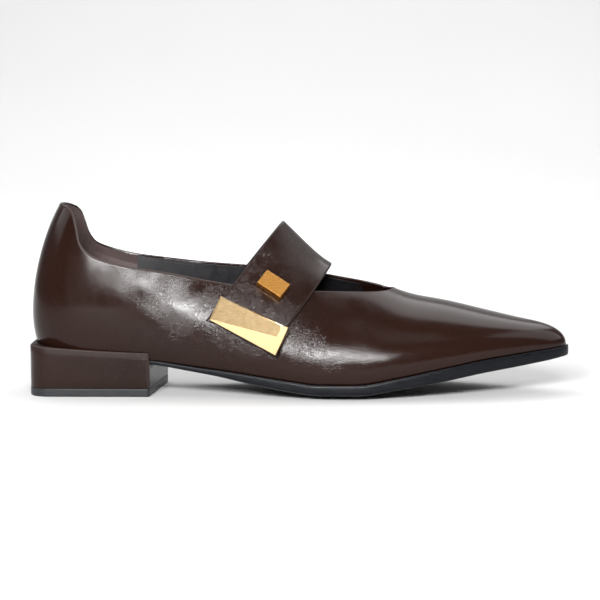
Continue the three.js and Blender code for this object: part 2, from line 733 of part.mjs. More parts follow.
// The origin goes to the middle of the shoe's box, on the floor.
const extent = new THREE.Box3().setFromObject(shoe, true);
const middle = extent.getCenter(new THREE.Vector3());
shoe.position.set(-middle.x, -middle.y, 0);

export default shoe;
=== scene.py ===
import math

import bmesh
import bpy
import numpy as np
from mathutils import Matrix, Vector


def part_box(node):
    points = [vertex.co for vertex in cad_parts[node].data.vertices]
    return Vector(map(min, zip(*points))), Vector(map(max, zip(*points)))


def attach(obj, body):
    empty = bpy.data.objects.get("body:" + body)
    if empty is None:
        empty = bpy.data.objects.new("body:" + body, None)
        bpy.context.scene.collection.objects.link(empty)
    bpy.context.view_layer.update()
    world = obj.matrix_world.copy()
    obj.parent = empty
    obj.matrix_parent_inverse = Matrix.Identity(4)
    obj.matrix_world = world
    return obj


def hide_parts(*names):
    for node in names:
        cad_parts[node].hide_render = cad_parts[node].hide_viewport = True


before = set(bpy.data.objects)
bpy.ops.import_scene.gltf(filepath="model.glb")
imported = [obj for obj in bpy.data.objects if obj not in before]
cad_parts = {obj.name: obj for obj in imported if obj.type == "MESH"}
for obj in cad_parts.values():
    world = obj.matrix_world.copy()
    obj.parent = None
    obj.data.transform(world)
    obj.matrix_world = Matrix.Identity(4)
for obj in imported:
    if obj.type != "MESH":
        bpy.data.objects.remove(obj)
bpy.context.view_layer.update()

# Insole
# A shaped board under the foot, padded and covered with a dark leather sock. The upper is
# lasted round its edge, so its outline is the foot line of the last, inside the wall.

# Foot line of the last, one value for each girth station from toe tip to back of heel, in mm.
FOOT_X = [271.4, 267.6, 257.5, 242.0, 222.0, 199.0, 175.0, 151.0, 127.5, 105.0, 83.0, 62.0, 42.0,
          24.5, 12.6, 6.2, 4.4]
FOOT_MEDIAL = [0.0, 7.2, 14.2, 22.2, 30.6, 36.6, 37.6, 33.8, 28.0, 23.8, 21.8, 22.0, 22.6,
               21.4, 16.6, 9.0, 0.0]
FOOT_LATERAL = [0.0, -7.0, -13.6, -20.6, -27.8, -33.4, -36.6, -36.6, -33.4, -29.2, -25.8, -23.6, -23.2,
                -21.8, -16.8, -9.0, 0.0]
HEEL_STATION = 16
RING_STATIONS = 2 * HEEL_STATION

# Sole from heel to toe: height of the middle of the underside, how much higher its edge
# stands, and the thickness of the edge.
SOLE_X = [0, 35, 64, 82, 98, 113, 130, 147, 165, 186, 209, 227, 245, 260, 274]
SOLE_UNDER = [20.6, 17.6, 15.4, 12.2, 9.0, 5.4, 2.1, 0.0, 0.0, 3.2, 7.4, 11.0, 14.0, 16.4, 18.3]
SOLE_CAMBER = [0.0, 0.2, 0.5, 1.0, 1.6, 2.2, 2.6, 2.8, 2.8, 2.5, 1.9, 1.5, 0.9, 0.5, 0.2]
SOLE_EDGE = [2.0, 2.0, 2.1, 2.5, 3.2, 4.2, 4.8, 4.9, 5.0, 5.4, 6.2, 6.3, 6.1, 5.6, 5.0]
SOLE_FLAT_SHARE = 0.45
SOLE_HEEL_POLE = 24
SOLE_TOE_POLE = 248
CEMENT_LINE = 0.3

# The heel's back face and outer side fix the shoe's own millimetres in the frame.
HEEL_BACK_X = 2.2
HEEL_HALF_WIDTH = 25.6
heel_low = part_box("heel_block")[0]
SHOE_DATUM = np.array([HEEL_BACK_X - heel_low[0] * 1000, -HEEL_HALF_WIDTH - heel_low[1] * 1000, 0.0])


def closed_curve(medial, lateral):
    """A smooth closed curve through one value for each whole station, both sides in turn."""
    values = np.array(medial + lateral[HEEL_STATION - 1:0:-1], float)
    pull = (4 * np.eye(RING_STATIONS) + np.roll(np.eye(RING_STATIONS), 1, 1)
            + np.roll(np.eye(RING_STATIONS), -1, 1)) / 6
    weights = np.linalg.solve(pull, values)

    def at(station):
        place = np.mod(station, RING_STATIONS)
        i = np.floor(place).astype(int)
        f = place - i
        share = ((1 - f) ** 3, 3 * f ** 3 - 6 * f ** 2 + 4, -3 * f ** 3 + 3 * f ** 2 + 3 * f + 1, f ** 3)
        return sum(part * weights[(i + k - 1) % RING_STATIONS] for k, part in enumerate(share)) / 6

    return at


def profile_curve(xs, ys):
    """A curve through a table's values that never swings past them."""
    x, y = np.array(xs, float), np.array(ys, float)
    rise = np.diff(y) / np.diff(x)
    slope = np.zeros(len(x))
    same_way = rise[:-1] * rise[1:] > 0
    sums = np.where(same_way, rise[:-1] + rise[1:], 1.0)
    slope[1:-1] = np.where(same_way, 2 * rise[:-1] * rise[1:] / sums, 0.0)

    def at(place):
        p = np.clip(place, x[0], x[-1])
        i = np.clip(np.searchsorted(x, p) - 1, 0, len(x) - 2)
        step = x[i + 1] - x[i]
        f = (p - x[i]) / step
        g = 1 - f
        return (y[i] * g * g * (1 + 2 * f) + y[i + 1] * f * f * (1 + 2 * g)
                + slope[i] * step * f * g * g - slope[i + 1] * step * f * f * g)

    return at


foot_x = closed_curve(FOOT_X, FOOT_X)
foot_y = closed_curve(FOOT_MEDIAL, FOOT_LATERAL)
sole_under = profile_curve(SOLE_X, SOLE_UNDER)
sole_camber = profile_curve(SOLE_X, SOLE_CAMBER)
sole_edge = profile_curve(SOLE_X, SOLE_EDGE)


def underside(x, across):
    turn = np.maximum(0, (across - SOLE_FLAT_SHARE) / (1 - SOLE_FLAT_SHARE))
    return sole_under(x) + sole_camber(x) * turn * turn


def footbed(x, across):
    return sole_under(x) + sole_camber(x) * (0.5 + 0.5 * across * across) + sole_edge(x)


def outward(station):
    """Outward direction of the foot line, in plan."""
    step = 0.01
    dx = foot_x(station + step) - foot_x(station - step)
    dy = foot_y(station + step) - foot_y(station - step)
    length = np.hypot(dx, dy)
    return np.stack([dy / length, -dx / length, np.zeros_like(length)], -1)


def even_stations(count, low, high):
    """Stations an equal distance apart along the foot line, from one place on it to another."""
    fine = np.linspace(low, high, 4000)
    run = np.concatenate([[0], np.cumsum(np.hypot(np.diff(foot_x(fine)), np.diff(foot_y(fine))))])
    return np.interp(np.linspace(0, run[-1], count), run, fine)


def ring_stations(half_count):
    """Matching stations on both sides, evenly spaced, once round the whole shoe."""
    half = (even_stations(half_count, 0, HEEL_STATION) - even_stations(half_count, 0, -HEEL_STATION)) / 2
    return np.concatenate([-half[:0:-1], half[:-1]])


def plate(stations, across, beyond, height):
    """Points part of the way from the middle line of the sole to an edge beside the foot line."""
    edge = np.stack([foot_x(stations), foot_y(stations)], -1) + outward(stations)[:, :2] * np.reshape(beyond, (-1, 1))
    spine = np.clip(foot_x(stations), SOLE_HEEL_POLE, SOLE_TOE_POLE)
    x = spine + (edge[:, 0] - spine) * across
    return np.stack([x, edge[:, 1] * across, height(x, across)], -1)


def quads(columns, rows, closed_columns=False, closed_rows=False, start=0):
    """Faces between neighbouring columns of points."""
    faces = []
    for j in range(columns if closed_columns else columns - 1):
        for i in range(rows if closed_rows else rows - 1):
            k, n = (j + 1) % columns, (i + 1) % rows
            faces.append((start + j * rows + i, start + k * rows + i, start + k * rows + n, start + j * rows + n))
    return faces


def make_piece(name, points, faces, sharp_angle=35, outside=True):
    """A welded mesh in the frame's metres from points in the shoe's millimetres."""
    mesh = bpy.data.meshes.new(name)
    mesh.from_pydata(((np.asarray(points) - SHOE_DATUM) / 1000).tolist(), [], faces)
    shape = bmesh.new()
    shape.from_mesh(mesh)
    bmesh.ops.remove_doubles(shape, verts=shape.verts, dist=2e-6)
    bmesh.ops.dissolve_degenerate(shape, edges=shape.edges, dist=1e-7)
    if outside:
        bmesh.ops.recalc_face_normals(shape, faces=shape.faces)
    for edge in shape.edges:
        edge.smooth = len(edge.link_faces) != 2 or edge.calc_face_angle() < math.radians(sharp_angle)
    for face in shape.faces:
        face.smooth = True
    shape.to_mesh(mesh)
    shape.free()
    piece = bpy.data.objects.new(name, mesh)
    bpy.context.scene.collection.objects.link(piece)
    return piece


def new_material(name):
    material = bpy.data.materials.new(name)
    material.use_nodes = True
    return material, material.node_tree, material.node_tree.nodes["Principled BSDF"]


def add_node(tree, kind, links=(), **settings):
    """A shader node, its settings, and its inputs: numbers, colours or other nodes' sockets."""
    node = tree.nodes.new(kind)
    for key, value in settings.items():
        setattr(node, key, value)
    for socket, value in dict(links).items():
        if isinstance(value, bpy.types.NodeSocket):
            tree.links.new(value, node.inputs[socket])
        else:
            node.inputs[socket].default_value = value
    return node


def grain(tree, size, detail=3.0, roughness=0.55, distortion=0.0, coordinates=None):
    """Noise whose blotches are about size metres across."""
    place = coordinates or add_node(tree, "ShaderNodeTexCoord").outputs["Object"]
    return add_node(tree, "ShaderNodeTexNoise", {
        "Vector": place, "Scale": 1 / size, "Detail": detail, "Roughness": roughness,
        "Distortion": distortion}).outputs["Fac"]


def colour_between(tree, share, low, high, low_at=0.3, high_at=0.7):
    """A colour that runs from low to high as share does."""
    ramp = add_node(tree, "ShaderNodeValToRGB", {"Fac": share})
    ramp.color_ramp.elements[0].position = low_at
    ramp.color_ramp.elements[1].position = high_at
    ramp.color_ramp.elements[0].color = (*low, 1)
    ramp.color_ramp.elements[1].color = (*high, 1)
    return ramp.outputs["Color"]


def stretch(tree, value, low, high, to_low=0.0, to_high=1.0):
    """A value carried smoothly from one range to another."""
    return add_node(tree, "ShaderNodeMapRange", {
        "Value": value, "From Min": low, "From Max": high, "To Min": to_low, "To Max": to_high},
        interpolation_type="SMOOTHSTEP").outputs["Result"]


def raise_grain(tree, height, strength, distance, below=None):
    """Relief of a given depth in metres, over other relief."""
    links = {"Height": height, "Strength": strength, "Distance": distance}
    if below:
        links["Normal"] = below
    return add_node(tree, "ShaderNodeBump", links).outputs["Normal"]


sock_leather, tree, shader = new_material("sock_leather")
patches = grain(tree, 0.018, 4)
pores = add_node(tree, "ShaderNodeTexVoronoi", {
    "Vector": add_node(tree, "ShaderNodeTexCoord").outputs["Object"], "Scale": 1300.0}).outputs["Distance"]
tree.links.new(colour_between(tree, patches, (0.018, 0.015, 0.014), (0.034, 0.028, 0.026)), shader.inputs["Base Color"])
tree.links.new(stretch(tree, patches, 0.3, 0.7, 0.45, 0.6), shader.inputs["Roughness"])
tree.links.new(raise_grain(tree, pores, 0.35, 0.00012), shader.inputs["Normal"])

INSOLE_INSET = -2.5
INSOLE_THICKNESS = 2.4
INSOLE_CUSHION = 0.5
insole_stations = ring_stations(141)


def insole_rows():
    yield from (plate(insole_stations, share, INSOLE_INSET - 0.3, lambda x, a: footbed(x, a) + CEMENT_LINE)
                for share in (0, 0.3, 0.6, 0.85, 1))
    for turn in (20, 45, 70, 90):
        inset = INSOLE_INSET - 0.7 * (1 - math.cos(math.radians(90 - turn)))
        drop = 0.7 * (1 - math.sin(math.radians(turn)))
        yield plate(insole_stations, 1, inset, lambda x, a: footbed(x, a) + CEMENT_LINE + INSOLE_THICKNESS - drop)
    for share in (0.93, 0.86, 0.75, 0.6, 0.45, 0.3, 0.15, 0):
        swell = INSOLE_CUSHION * (1 - share ** 4)
        yield plate(insole_stations, share, INSOLE_INSET - 0.7,
                    lambda x, a: footbed(x, a) + CEMENT_LINE + INSOLE_THICKNESS + swell)


insole_grid = np.stack(list(insole_rows()), 1)
insole_sock = make_piece("insole_sock", insole_grid.reshape(-1, 3),
                         quads(*insole_grid.shape[:2], closed_columns=True))
insole_sock.data.materials.append(sock_leather)
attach(insole_sock, "root")
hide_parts("insole")

# Upper
# Vamp and quarters of polished espresso calf in one whole piece, closed up the back, its top
# edge folded over. It is pulled over the last, and its foot is cemented to the insole and sole.

# The last above the foot line, one value for each station: the ridge that each girth line
# climbs to, how far the wall rises and how it leans before it turns, how far the top runs
# flat on each side, and how far the sides stand apart behind the instep.
RIDGE_X = [254, 252, 247, 238, 225, 208, 190, 172, 153, 136, 120, 103, 84, 64, 45, 33, 28]
RIDGE_Y = [0.0, 0.0, 0.5, 1.5, 3.0, 4.5, 6.0, 7.0, 7.4, 7.0, 6.0, 4.0, 2.0, 0.5, 0.0, 0.0, 0.0]
RIDGE_Z = [36.0, 36.4, 37.4, 39.4, 42.4, 46.1, 49.7, 56.4, 61.4, 75.0, 90.5, 104.0, 110.0, 112.0,
           112.0, 110.0, 108.0]
WALL_LIFT = [7, 7.5, 9, 11, 13.5, 16.5, 19, 21, 24, 27, 29, 30, 30, 29, 28, 27, 26]
WALL_LEAN = [0, 6, 12, 16, 19, 21, 23, 23, 20, 17, 15, 16, 17, 18, 20, 21, 22]
REACH_LATERAL = [9, 8, 8.5, 12, 16, 20, 24, 26, 25, 22, 18, 15, 13, 14, 16, 17, 17]
REACH_MEDIAL = [9, 8, 8.5, 10.5, 13, 15, 16, 15, 14, 13, 13, 13, 13, 14, 16, 17, 17]
SPREAD = [0, 0, 0, 0, 0, 0, 0, 0, 0, 0, 0, 7, 12.5, 15, 13, 7.4, 0]
# How far the outer wall is drawn in towards the topline, behind the ball, and where that starts
# and is greatest on a girth line.
DRAW_LATERAL = [0, 0, 0, 0, 0, 0, 0, 0, 0, 2.4, 5, 5, 4, 2, 0, 0, 0]
DRAW_START = 0.22
DRAW_FULL = 0.62
RIDGE_END = 9.8
ANKLE_START = 12

# Height of the topline from the back tab to the throat.
TOPLINE_X = [0, 16, 21.5, 24, 25.7, 27.4, 31, 36, 43, 52, 70, 90, 110, 130, 150, 165, 176, 182.5, 195, 230]
TOPLINE_LATERAL = [97.0, 95.2, 93.4, 90.0, 84.6, 77.2, 72.2, 69.2, 66.9, 64.9, 61.9, 58.1, 55.0, 53.3,
                   52.3, 51.9, 51.6, 51.8, 53.3, 60.8]
TOPLINE_MEDIAL = [97.0, 95.2, 93.0, 90.2, 84.8, 79.2, 74.0, 71.6, 69.4, 67.4, 65.3, 63.4, 62.0, 60.4,
                  58.2, 55.6, 53.4, 51.8, 53.3, 60.8]
LEATHER = 1.1
LEATHER_EDGE_DROP = 0.45

ridge_x = closed_curve(RIDGE_X, RIDGE_X)
ridge_y = closed_curve(RIDGE_Y, RIDGE_Y)
ridge_z = closed_curve(RIDGE_Z, RIDGE_Z)
wall_lift = closed_curve(WALL_LIFT, WALL_LIFT)
wall_lean = closed_curve(WALL_LEAN, WALL_LEAN)
wall_reach = closed_curve(REACH_MEDIAL, REACH_LATERAL)
ankle_spread = closed_curve(SPREAD, [-value for value in SPREAD])
wall_draw = closed_curve([0] * (HEEL_STATION + 1), DRAW_LATERAL)
topline_lateral = profile_curve(TOPLINE_X, TOPLINE_LATERAL)
topline_medial = profile_curve(TOPLINE_X, TOPLINE_MEDIAL)


def unit(vectors):
    return vectors / np.linalg.norm(vectors, axis=-1, keepdims=True)


def ridge_slope(station):
    step = 0.005
    at = np.clip(np.abs(station), 2 * step, HEEL_STATION - 2 * step)
    return (ridge_z(at + step) - ridge_z(at - step)) / (ridge_x(at + step) - ridge_x(at - step))


def ease(value, low, high):
    share = np.clip((value - low) / (high - low), 0, 1)
    return share * share * (3 - 2 * share)


def last_point(station, rise):
    """A point of the last: station along the foot line, rise from 0 at the foot to 1 on the ridge."""
    station, rise = np.broadcast_arrays(np.asarray(station, float), np.asarray(rise, float))
    foot = np.stack([foot_x(station), foot_y(station), footbed(foot_x(station), 1) + CEMENT_LINE], -1)
    opened = ease(np.abs(station), RIDGE_END, ANKLE_START)
    crown = np.stack([ridge_x(station), ridge_y(station) + opened * ankle_spread(station), ridge_z(station)], -1)
    tilt = np.radians(wall_lean(station))
    wall = outward(station) * (np.sin(tilt) * wall_lift(station))[..., None]
    wall[..., 2] = np.cos(tilt) * wall_lift(station)
    inward = crown - foot
    inward[..., 2] = 0
    inward = unit(inward)
    inward[..., 2] = inward[..., 0] * ridge_slope(station)
    inward = inward * wall_reach(station)[..., None]
    t = rise[..., None]
    drawn = ease(rise, DRAW_START, DRAW_FULL) * (1 - ease(rise, DRAW_FULL, 1)) * wall_draw(station)
    return ((1 - t) ** 3 * foot + 3 * (1 - t) ** 2 * t * (foot + wall)
            + 3 * (1 - t) * t * t * (crown - inward) + t ** 3 * crown - outward(station) * drawn[..., None])


def last_normal(station, rise):
    step = 0.004
    along = last_point(station + step, rise) - last_point(station - step, rise)
    up = last_point(station, np.asarray(rise) + step) - last_point(station, np.maximum(0, np.asarray(rise) - step))
    side = unit(np.cross(along, up))
    slope = ridge_slope(np.broadcast_to(station, side.shape[:-1]))
    top = unit(np.stack([-slope, np.zeros_like(slope), np.ones_like(slope)], -1))
    return np.where((np.asarray(rise) > 0.999)[..., None] & np.ones_like(side, bool), top, side)


def skin(station, rise, offset):
    return last_point(station, rise) + last_normal(station, rise) * np.asarray(offset)[..., None]


def topline(station, x):
    return np.where(np.asarray(station) < 0, topline_lateral(x), topline_medial(x))


def throat_station(drop):
    """Station at which the ridge of the vamp opens into the throat, for an edge so far below the topline."""
    low, high = 0.0, float(HEEL_STATION)
    for _ in range(40):
        middle = (low + high) / 2
        is_closed = ridge_z(np.array(middle)) < topline_medial(ridge_x(np.array(middle))) - drop
        low, high = (middle, high) if is_closed else (low, middle)
    return low


def edge_rise(stations, drop):
    """Share of each girth line that lies below the topline, less a drop."""
    low, high = np.zeros(len(stations)), np.ones(len(stations))
    for _ in range(40):
        middle = (low + high) / 2
        point = last_point(stations, middle)
        below = point[:, 2] < topline(stations, point[:, 0]) - drop
        low, high = np.where(below, middle, low), np.where(below, high, middle)
    return np.where(np.abs(stations) <= throat_station(drop) + 1e-9, 1.0, low)


CROWDED_SHARE = 0.2


def crowded_stations(count, throat, far_end):
    """Stations from the tip of the throat to one end of the shoe, close together at the throat."""
    share = np.linspace(0, 1, count + 1)
    even_step = (1 - CROWDED_SHARE / 2) / (1 - CROWDED_SHARE)
    eased = np.where(share < CROWDED_SHARE, share ** 2 / (2 * CROWDED_SHARE),
                     CROWDED_SHARE / 2 + (share - CROWDED_SHARE) * even_step)
    even = even_stations(2000, min(throat, far_end), max(throat, far_end))
    if far_end < throat:
        even = even[::-1]
    return np.interp(eased, np.linspace(0, 1, len(even)), even)


def loop_stations(drop, vamp_count, quarter_count):
    """Stations round the whole upper, crowded at the tip of the throat, from lateral to medial."""
    throat = throat_station(drop)
    vamp = crowded_stations(vamp_count, throat, 0)[::-1]
    quarter = crowded_stations(quarter_count, throat, HEEL_STATION)
    half = np.concatenate([vamp[:-1], quarter])
    return np.concatenate([-half[::-1][:-1], half[:-1]])


def relief_of_wear(points):
    """Soft troughs and ridges, in mm: slack pleats behind the strap and a slow ripple at the ball."""
    x, y, z = points[..., 0], points[..., 1], points[..., 2]
    lateral = np.clip(-y / 20, 0, 1)
    medial = np.clip(y / 20, 0, 1)
    quarter = np.exp(-((x - 78) / 26) ** 2) * np.clip((z - 30) / 16, 0, 1)
    pleat = np.sin((x * 0.62 + z * 0.80 + 1.6 * np.sin(z / 7.5)) / 2.1) * np.exp(-((x - 62) / 14) ** 2)
    slack = np.sin((x * 0.35 - z * 0.95 + 2.2 * np.sin(x / 11)) / 2.9)
    ball = np.exp(-((x - 172) / 22) ** 2) * np.clip((52 - z) / 24, 0, 1)
    ripple = np.sin((x + 0.9 * z + 3 * np.sin(z / 9)) / 4.4)
    return ((0.10 * pleat + 0.09 * slack) * quarter * (lateral + 0.8 * medial)
            + 0.05 * ripple * ball * (lateral + medial))


def shell(name, drop, outer, inner, rows, vamp_count, quarter_count, tuck, relief=None):
    """A closed sheet of leather on the last between two offsets, with a rounded top edge."""
    stations = loop_stations(drop, vamp_count, quarter_count)
    tops = edge_rise(stations, drop)
    rises = tops[:, None] * np.linspace(0, 1, rows + 1)[None, :]
    columns = np.repeat(stations[:, None], rows + 1, 1)
    outside = skin(columns, rises, np.full(rises.shape, outer))
    if relief:
        shift = relief(outside)
        outside = outside + last_normal(columns, rises) * shift[..., None]
    inside = skin(columns, rises, np.full(rises.shape, inner))
    foot = outside[:, 0] - outward(stations) * tuck[0] + np.array([0, 0, -tuck[1]])
    heel = inside[:, 0] * [1, 1, 0] + (foot * [0, 0, 1])
    wall = np.concatenate([foot[:, None], outside], 1)
    back = np.concatenate([inside, heel[:, None]], 1)[:, ::-1]

    throat = throat_station(drop)
    open_places = np.flatnonzero(stations >= throat - 1e-9)
    lateral_places = np.flatnonzero(stations < -throat - 1e-9)
    loop = np.concatenate([open_places, lateral_places])
    edge = outside[loop, -1]
    facing = last_normal(stations[loop], tops[loop])
    facing[0] = unit(np.array([-float(ridge_slope(np.array(throat))), 0.0, 1.0]))
    tangent = unit(np.roll(edge, -1, 0) - np.roll(edge, 1, 0))
    away = unit(np.cross(facing, tangent))
    radius = (outer - inner) / 2
    centre = edge - facing * radius
    turns = np.radians(np.linspace(0, 180, 9))
    roll = np.stack([centre + radius * (math.cos(t) * facing + math.sin(t) * away) for t in turns], 1)
    roll[:, -1] = inside[loop, -1]

    points, faces = [], []
    for grid, closed in ((wall, True), (back, True), (roll, True),
                         (np.stack([wall[:, 0], back[:, 0]], 1), True)):
        start = sum(len(part) for part in points)
        faces += quads(*grid.shape[:2], closed_columns=closed, start=start)
        points.append(grid.reshape(-1, 3))
    return make_piece(name, np.concatenate(points), faces, 60), edge, facing


upper_leather, upper_edge, upper_facing = shell(
    "upper_leather", LEATHER_EDGE_DROP, 0.0, -LEATHER, 64, 110, 190, (0.8, 0.27), relief_of_wear)


def mark_wear_and_sheen(piece, centres, reach):
    """Writes how near each point lies to the edges, whose lighter colour is partly rubbed wear and partly a painted
    highlight, from 1 on them to 0 at reach mm away.
    """
    points = np.empty(len(piece.data.vertices) * 3)
    piece.data.vertices.foreach_get("co", points)
    points = points.reshape(-1, 3) * 1000 + SHOE_DATUM
    nearest = np.full(len(points), np.inf)
    for start in range(0, len(centres), 40):
        block = centres[start:start + 40]
        gap = np.linalg.norm(points[:, None] - block[None], axis=2).min(1)
        nearest = np.minimum(nearest, gap)
    wear = piece.data.attributes.new("edge_wear_and_sheen", "FLOAT", "POINT")
    wear.data.foreach_set("value", np.clip(1 - nearest / reach, 0, 1))


def polished_leather(name, dark, light, wear_and_sheen_colour, crinkle_from, crinkle_to, gloss=0.15, depth=0.00006):
    """Espresso calf: fine crinkled grain between two places along the shoe, smooth and glassy elsewhere."""
    material, tree, shader = new_material(name)
    place = add_node(tree, "ShaderNodeTexCoord").outputs["Object"]
    along = add_node(tree, "ShaderNodeSeparateXYZ", {"Vector": place}).outputs["X"]
    cloud = grain(tree, 0.06, 3, 0.5, coordinates=place)
    mottle = grain(tree, 0.004, 3, 0.6, coordinates=place)
    tone = add_node(tree, "ShaderNodeMath", {0: mottle, 1: 0.4, 2: cloud}, operation="MULTIPLY_ADD").outputs["Value"]
    dye = colour_between(tree, tone, dark, light, 0.45, 0.95)
    # Towards the edges the colour runs to a lighter one: partly rubbed wear, partly a painted highlight where the
    # rounded edge catches the light.
    edge_wear_and_sheen = add_node(tree, "ShaderNodeAttribute", attribute_name="edge_wear_and_sheen").outputs["Fac"]
    worn_and_lit = stretch(tree, edge_wear_and_sheen, 0.45, 0.95)
    finish = add_node(tree, "ShaderNodeMixRGB", {"Fac": worn_and_lit, "Color1": dye, "Color2": (*wear_and_sheen_colour, 1)})
    tree.links.new(finish.outputs["Color"], shader.inputs["Base Color"])

    rising = stretch(tree, along, *crinkle_from)
    falling = stretch(tree, along, *crinkle_to, 1.0, 0.0)
    patch = stretch(tree, grain(tree, 0.020, 3, coordinates=place), 0.36, 0.60, 0.35, 1.0)
    crinkled = add_node(tree, "ShaderNodeMath", {0: rising, 1: falling}, operation="MULTIPLY").outputs["Value"]
    crinkled = add_node(tree, "ShaderNodeMath", {0: crinkled, 1: patch}, operation="MULTIPLY").outputs["Value"]
    crinkled = add_node(tree, "ShaderNodeMath", {0: crinkled, 1: 0.03}, operation="ADD").outputs["Value"]

    wander = add_node(tree, "ShaderNodeTexNoise", {"Vector": place, "Scale": 900.0, "Detail": 2.0}).outputs["Color"]
    wander = add_node(tree, "ShaderNodeVectorMath", {0: wander, "Scale": 0.0007}, operation="SCALE").outputs["Vector"]
    moved = add_node(tree, "ShaderNodeVectorMath", {0: place, 1: wander}, operation="ADD").outputs["Vector"]
    cells = add_node(tree, "ShaderNodeTexVoronoi", {"Vector": moved, "Scale": 1250.0},
                     feature="DISTANCE_TO_EDGE").outputs["Distance"]
    relief = raise_grain(tree, grain(tree, 0.018, 2, 0.4, coordinates=place), 0.06, 0.0006)
    relief = raise_grain(tree, stretch(tree, cells, 0.0, 0.35), crinkled, depth * 0.8, relief)
    relief = raise_grain(tree, grain(tree, 0.0005, 3, 0.6, coordinates=place), crinkled, depth, relief)
    relief = raise_grain(tree, grain(tree, 0.0003, 2, 0.5, coordinates=place), 0.03, 0.00004, relief)
    tree.links.new(relief, shader.inputs["Normal"])
    polish = stretch(tree, mottle, 0.3, 0.7, gloss, gloss + 0.04)
    rubbed = stretch(tree, edge_wear_and_sheen, 0.05, 0.5, 0.0, 0.4)
    matt = add_node(tree, "ShaderNodeMath", {0: polish, 1: rubbed}, operation="ADD").outputs["Value"]
    tree.links.new(matt, shader.inputs["Roughness"])
    shader.inputs["Specular IOR Level"].default_value = 0.21
    return material


ESPRESSO_DARK = (0.0092, 0.0034, 0.0023)
ESPRESSO_LIGHT = (0.0130, 0.0049, 0.0033)
# The folded top edge gets a lighter colour: partly rubbed wear, partly a painted highlight where the edge catches the
# light.
ESPRESSO_WORN_AND_LIT = (0.045, 0.030, 0.026)
mark_wear_and_sheen(upper_leather, upper_edge + unit(np.cross(upper_facing, np.roll(upper_edge, -1, 0) - np.roll(upper_edge, 1, 0))) * 0.3, 0.9)
upper_calf = polished_leather("upper_calf", ESPRESSO_DARK, ESPRESSO_LIGHT, ESPRESSO_WORN_AND_LIT,
                              (-0.098, -0.066), (-0.005, 0.075))
upper_leather.data.materials.append(upper_calf)
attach(upper_leather, "root")
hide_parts("upper")

# Upper lining
# Thin dark kid inside the quarters and the vamp, set in below the folded edge and stitched
# to it. A brown heel lining is laid over it from the back to the seam ahead of the heel.
LINING_DROP = 1.1
LINING_OUTER = -LEATHER - 0.05
LINING_INNER = -1.8
HEEL_LINING_SEAM_X = 52.5
upper_lining, lining_edge, lining_facing = shell(
    "upper_lining", LINING_DROP, LINING_OUTER, LINING_INNER, 24, 60, 130, (0.1, 0.1))

lining_kid, tree, shader = new_material("lining_kid")
fibres = grain(tree, 0.004, 5, 0.65)
dark_kid = colour_between(tree, fibres, (0.0065, 0.0060, 0.0070), (0.013, 0.012, 0.0135))
brown_kid = colour_between(tree, fibres, (0.045, 0.032, 0.030), (0.070, 0.050, 0.047))
place = add_node(tree, "ShaderNodeTexCoord").outputs["Object"]
along = add_node(tree, "ShaderNodeSeparateXYZ", {"Vector": place}).outputs["X"]
seam_place = (HEEL_LINING_SEAM_X - SHOE_DATUM[0]) / 1000
at_heel = stretch(tree, along, seam_place - 0.0004, seam_place, 1.0, 0.0)
kid = add_node(tree, "ShaderNodeMixRGB", {"Fac": at_heel, "Color1": dark_kid, "Color2": brown_kid})
tree.links.new(kid.outputs["Color"], shader.inputs["Base Color"])
tree.links.new(stretch(tree, fibres, 0.3, 0.7, 0.32, 0.45), shader.inputs["Roughness"])
tree.links.new(raise_grain(tree, grain(tree, 0.0008, 4, 0.6), 0.4, 0.00012), shader.inputs["Normal"])
shader.inputs["Specular IOR Level"].default_value = 0.12
upper_lining.data.materials.append(lining_kid)
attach(upper_lining, "root")

HEEL_LINING_DROP = 0.8
HEEL_LINING_OFFSETS = (-1.82, -2.3)
HEEL_LINING_FOOT = 0.02


def station_at(x, side, rises):
    """Station at which a girth line passes a given x, at each rise."""
    low, high = np.zeros(len(rises)), np.full(len(rises), float(HEEL_STATION))
    for _ in range(40):
        middle = (low + high) / 2
        ahead = last_point(side * middle, rises)[..., 0] > x
        low, high = np.where(ahead, middle, low), np.where(ahead, high, middle)
    return low


def sheet_on_last(stations, rises, offsets):
    """A thin closed patch on the last between two offsets, its four edges closed."""
    outer = skin(stations, rises, np.full(rises.shape, offsets[0]))
    inner = skin(stations, rises, np.full(rises.shape, offsets[1]))
    columns, rows = rises.shape
    points = np.concatenate([outer.reshape(-1, 3), inner.reshape(-1, 3)])
    count = columns * rows
    faces = quads(columns, rows) + quads(columns, rows, start=count)
    border = ([j * rows for j in range(columns)] + [(columns - 1) * rows + i for i in range(1, rows)]
              + [j * rows + rows - 1 for j in range(columns - 2, -1, -1)] + list(range(rows - 2, 0, -1)))
    for a, b in zip(border, border[1:] + border[:1]):
        faces.append((a, b, b + count, a + count))
    return points, faces


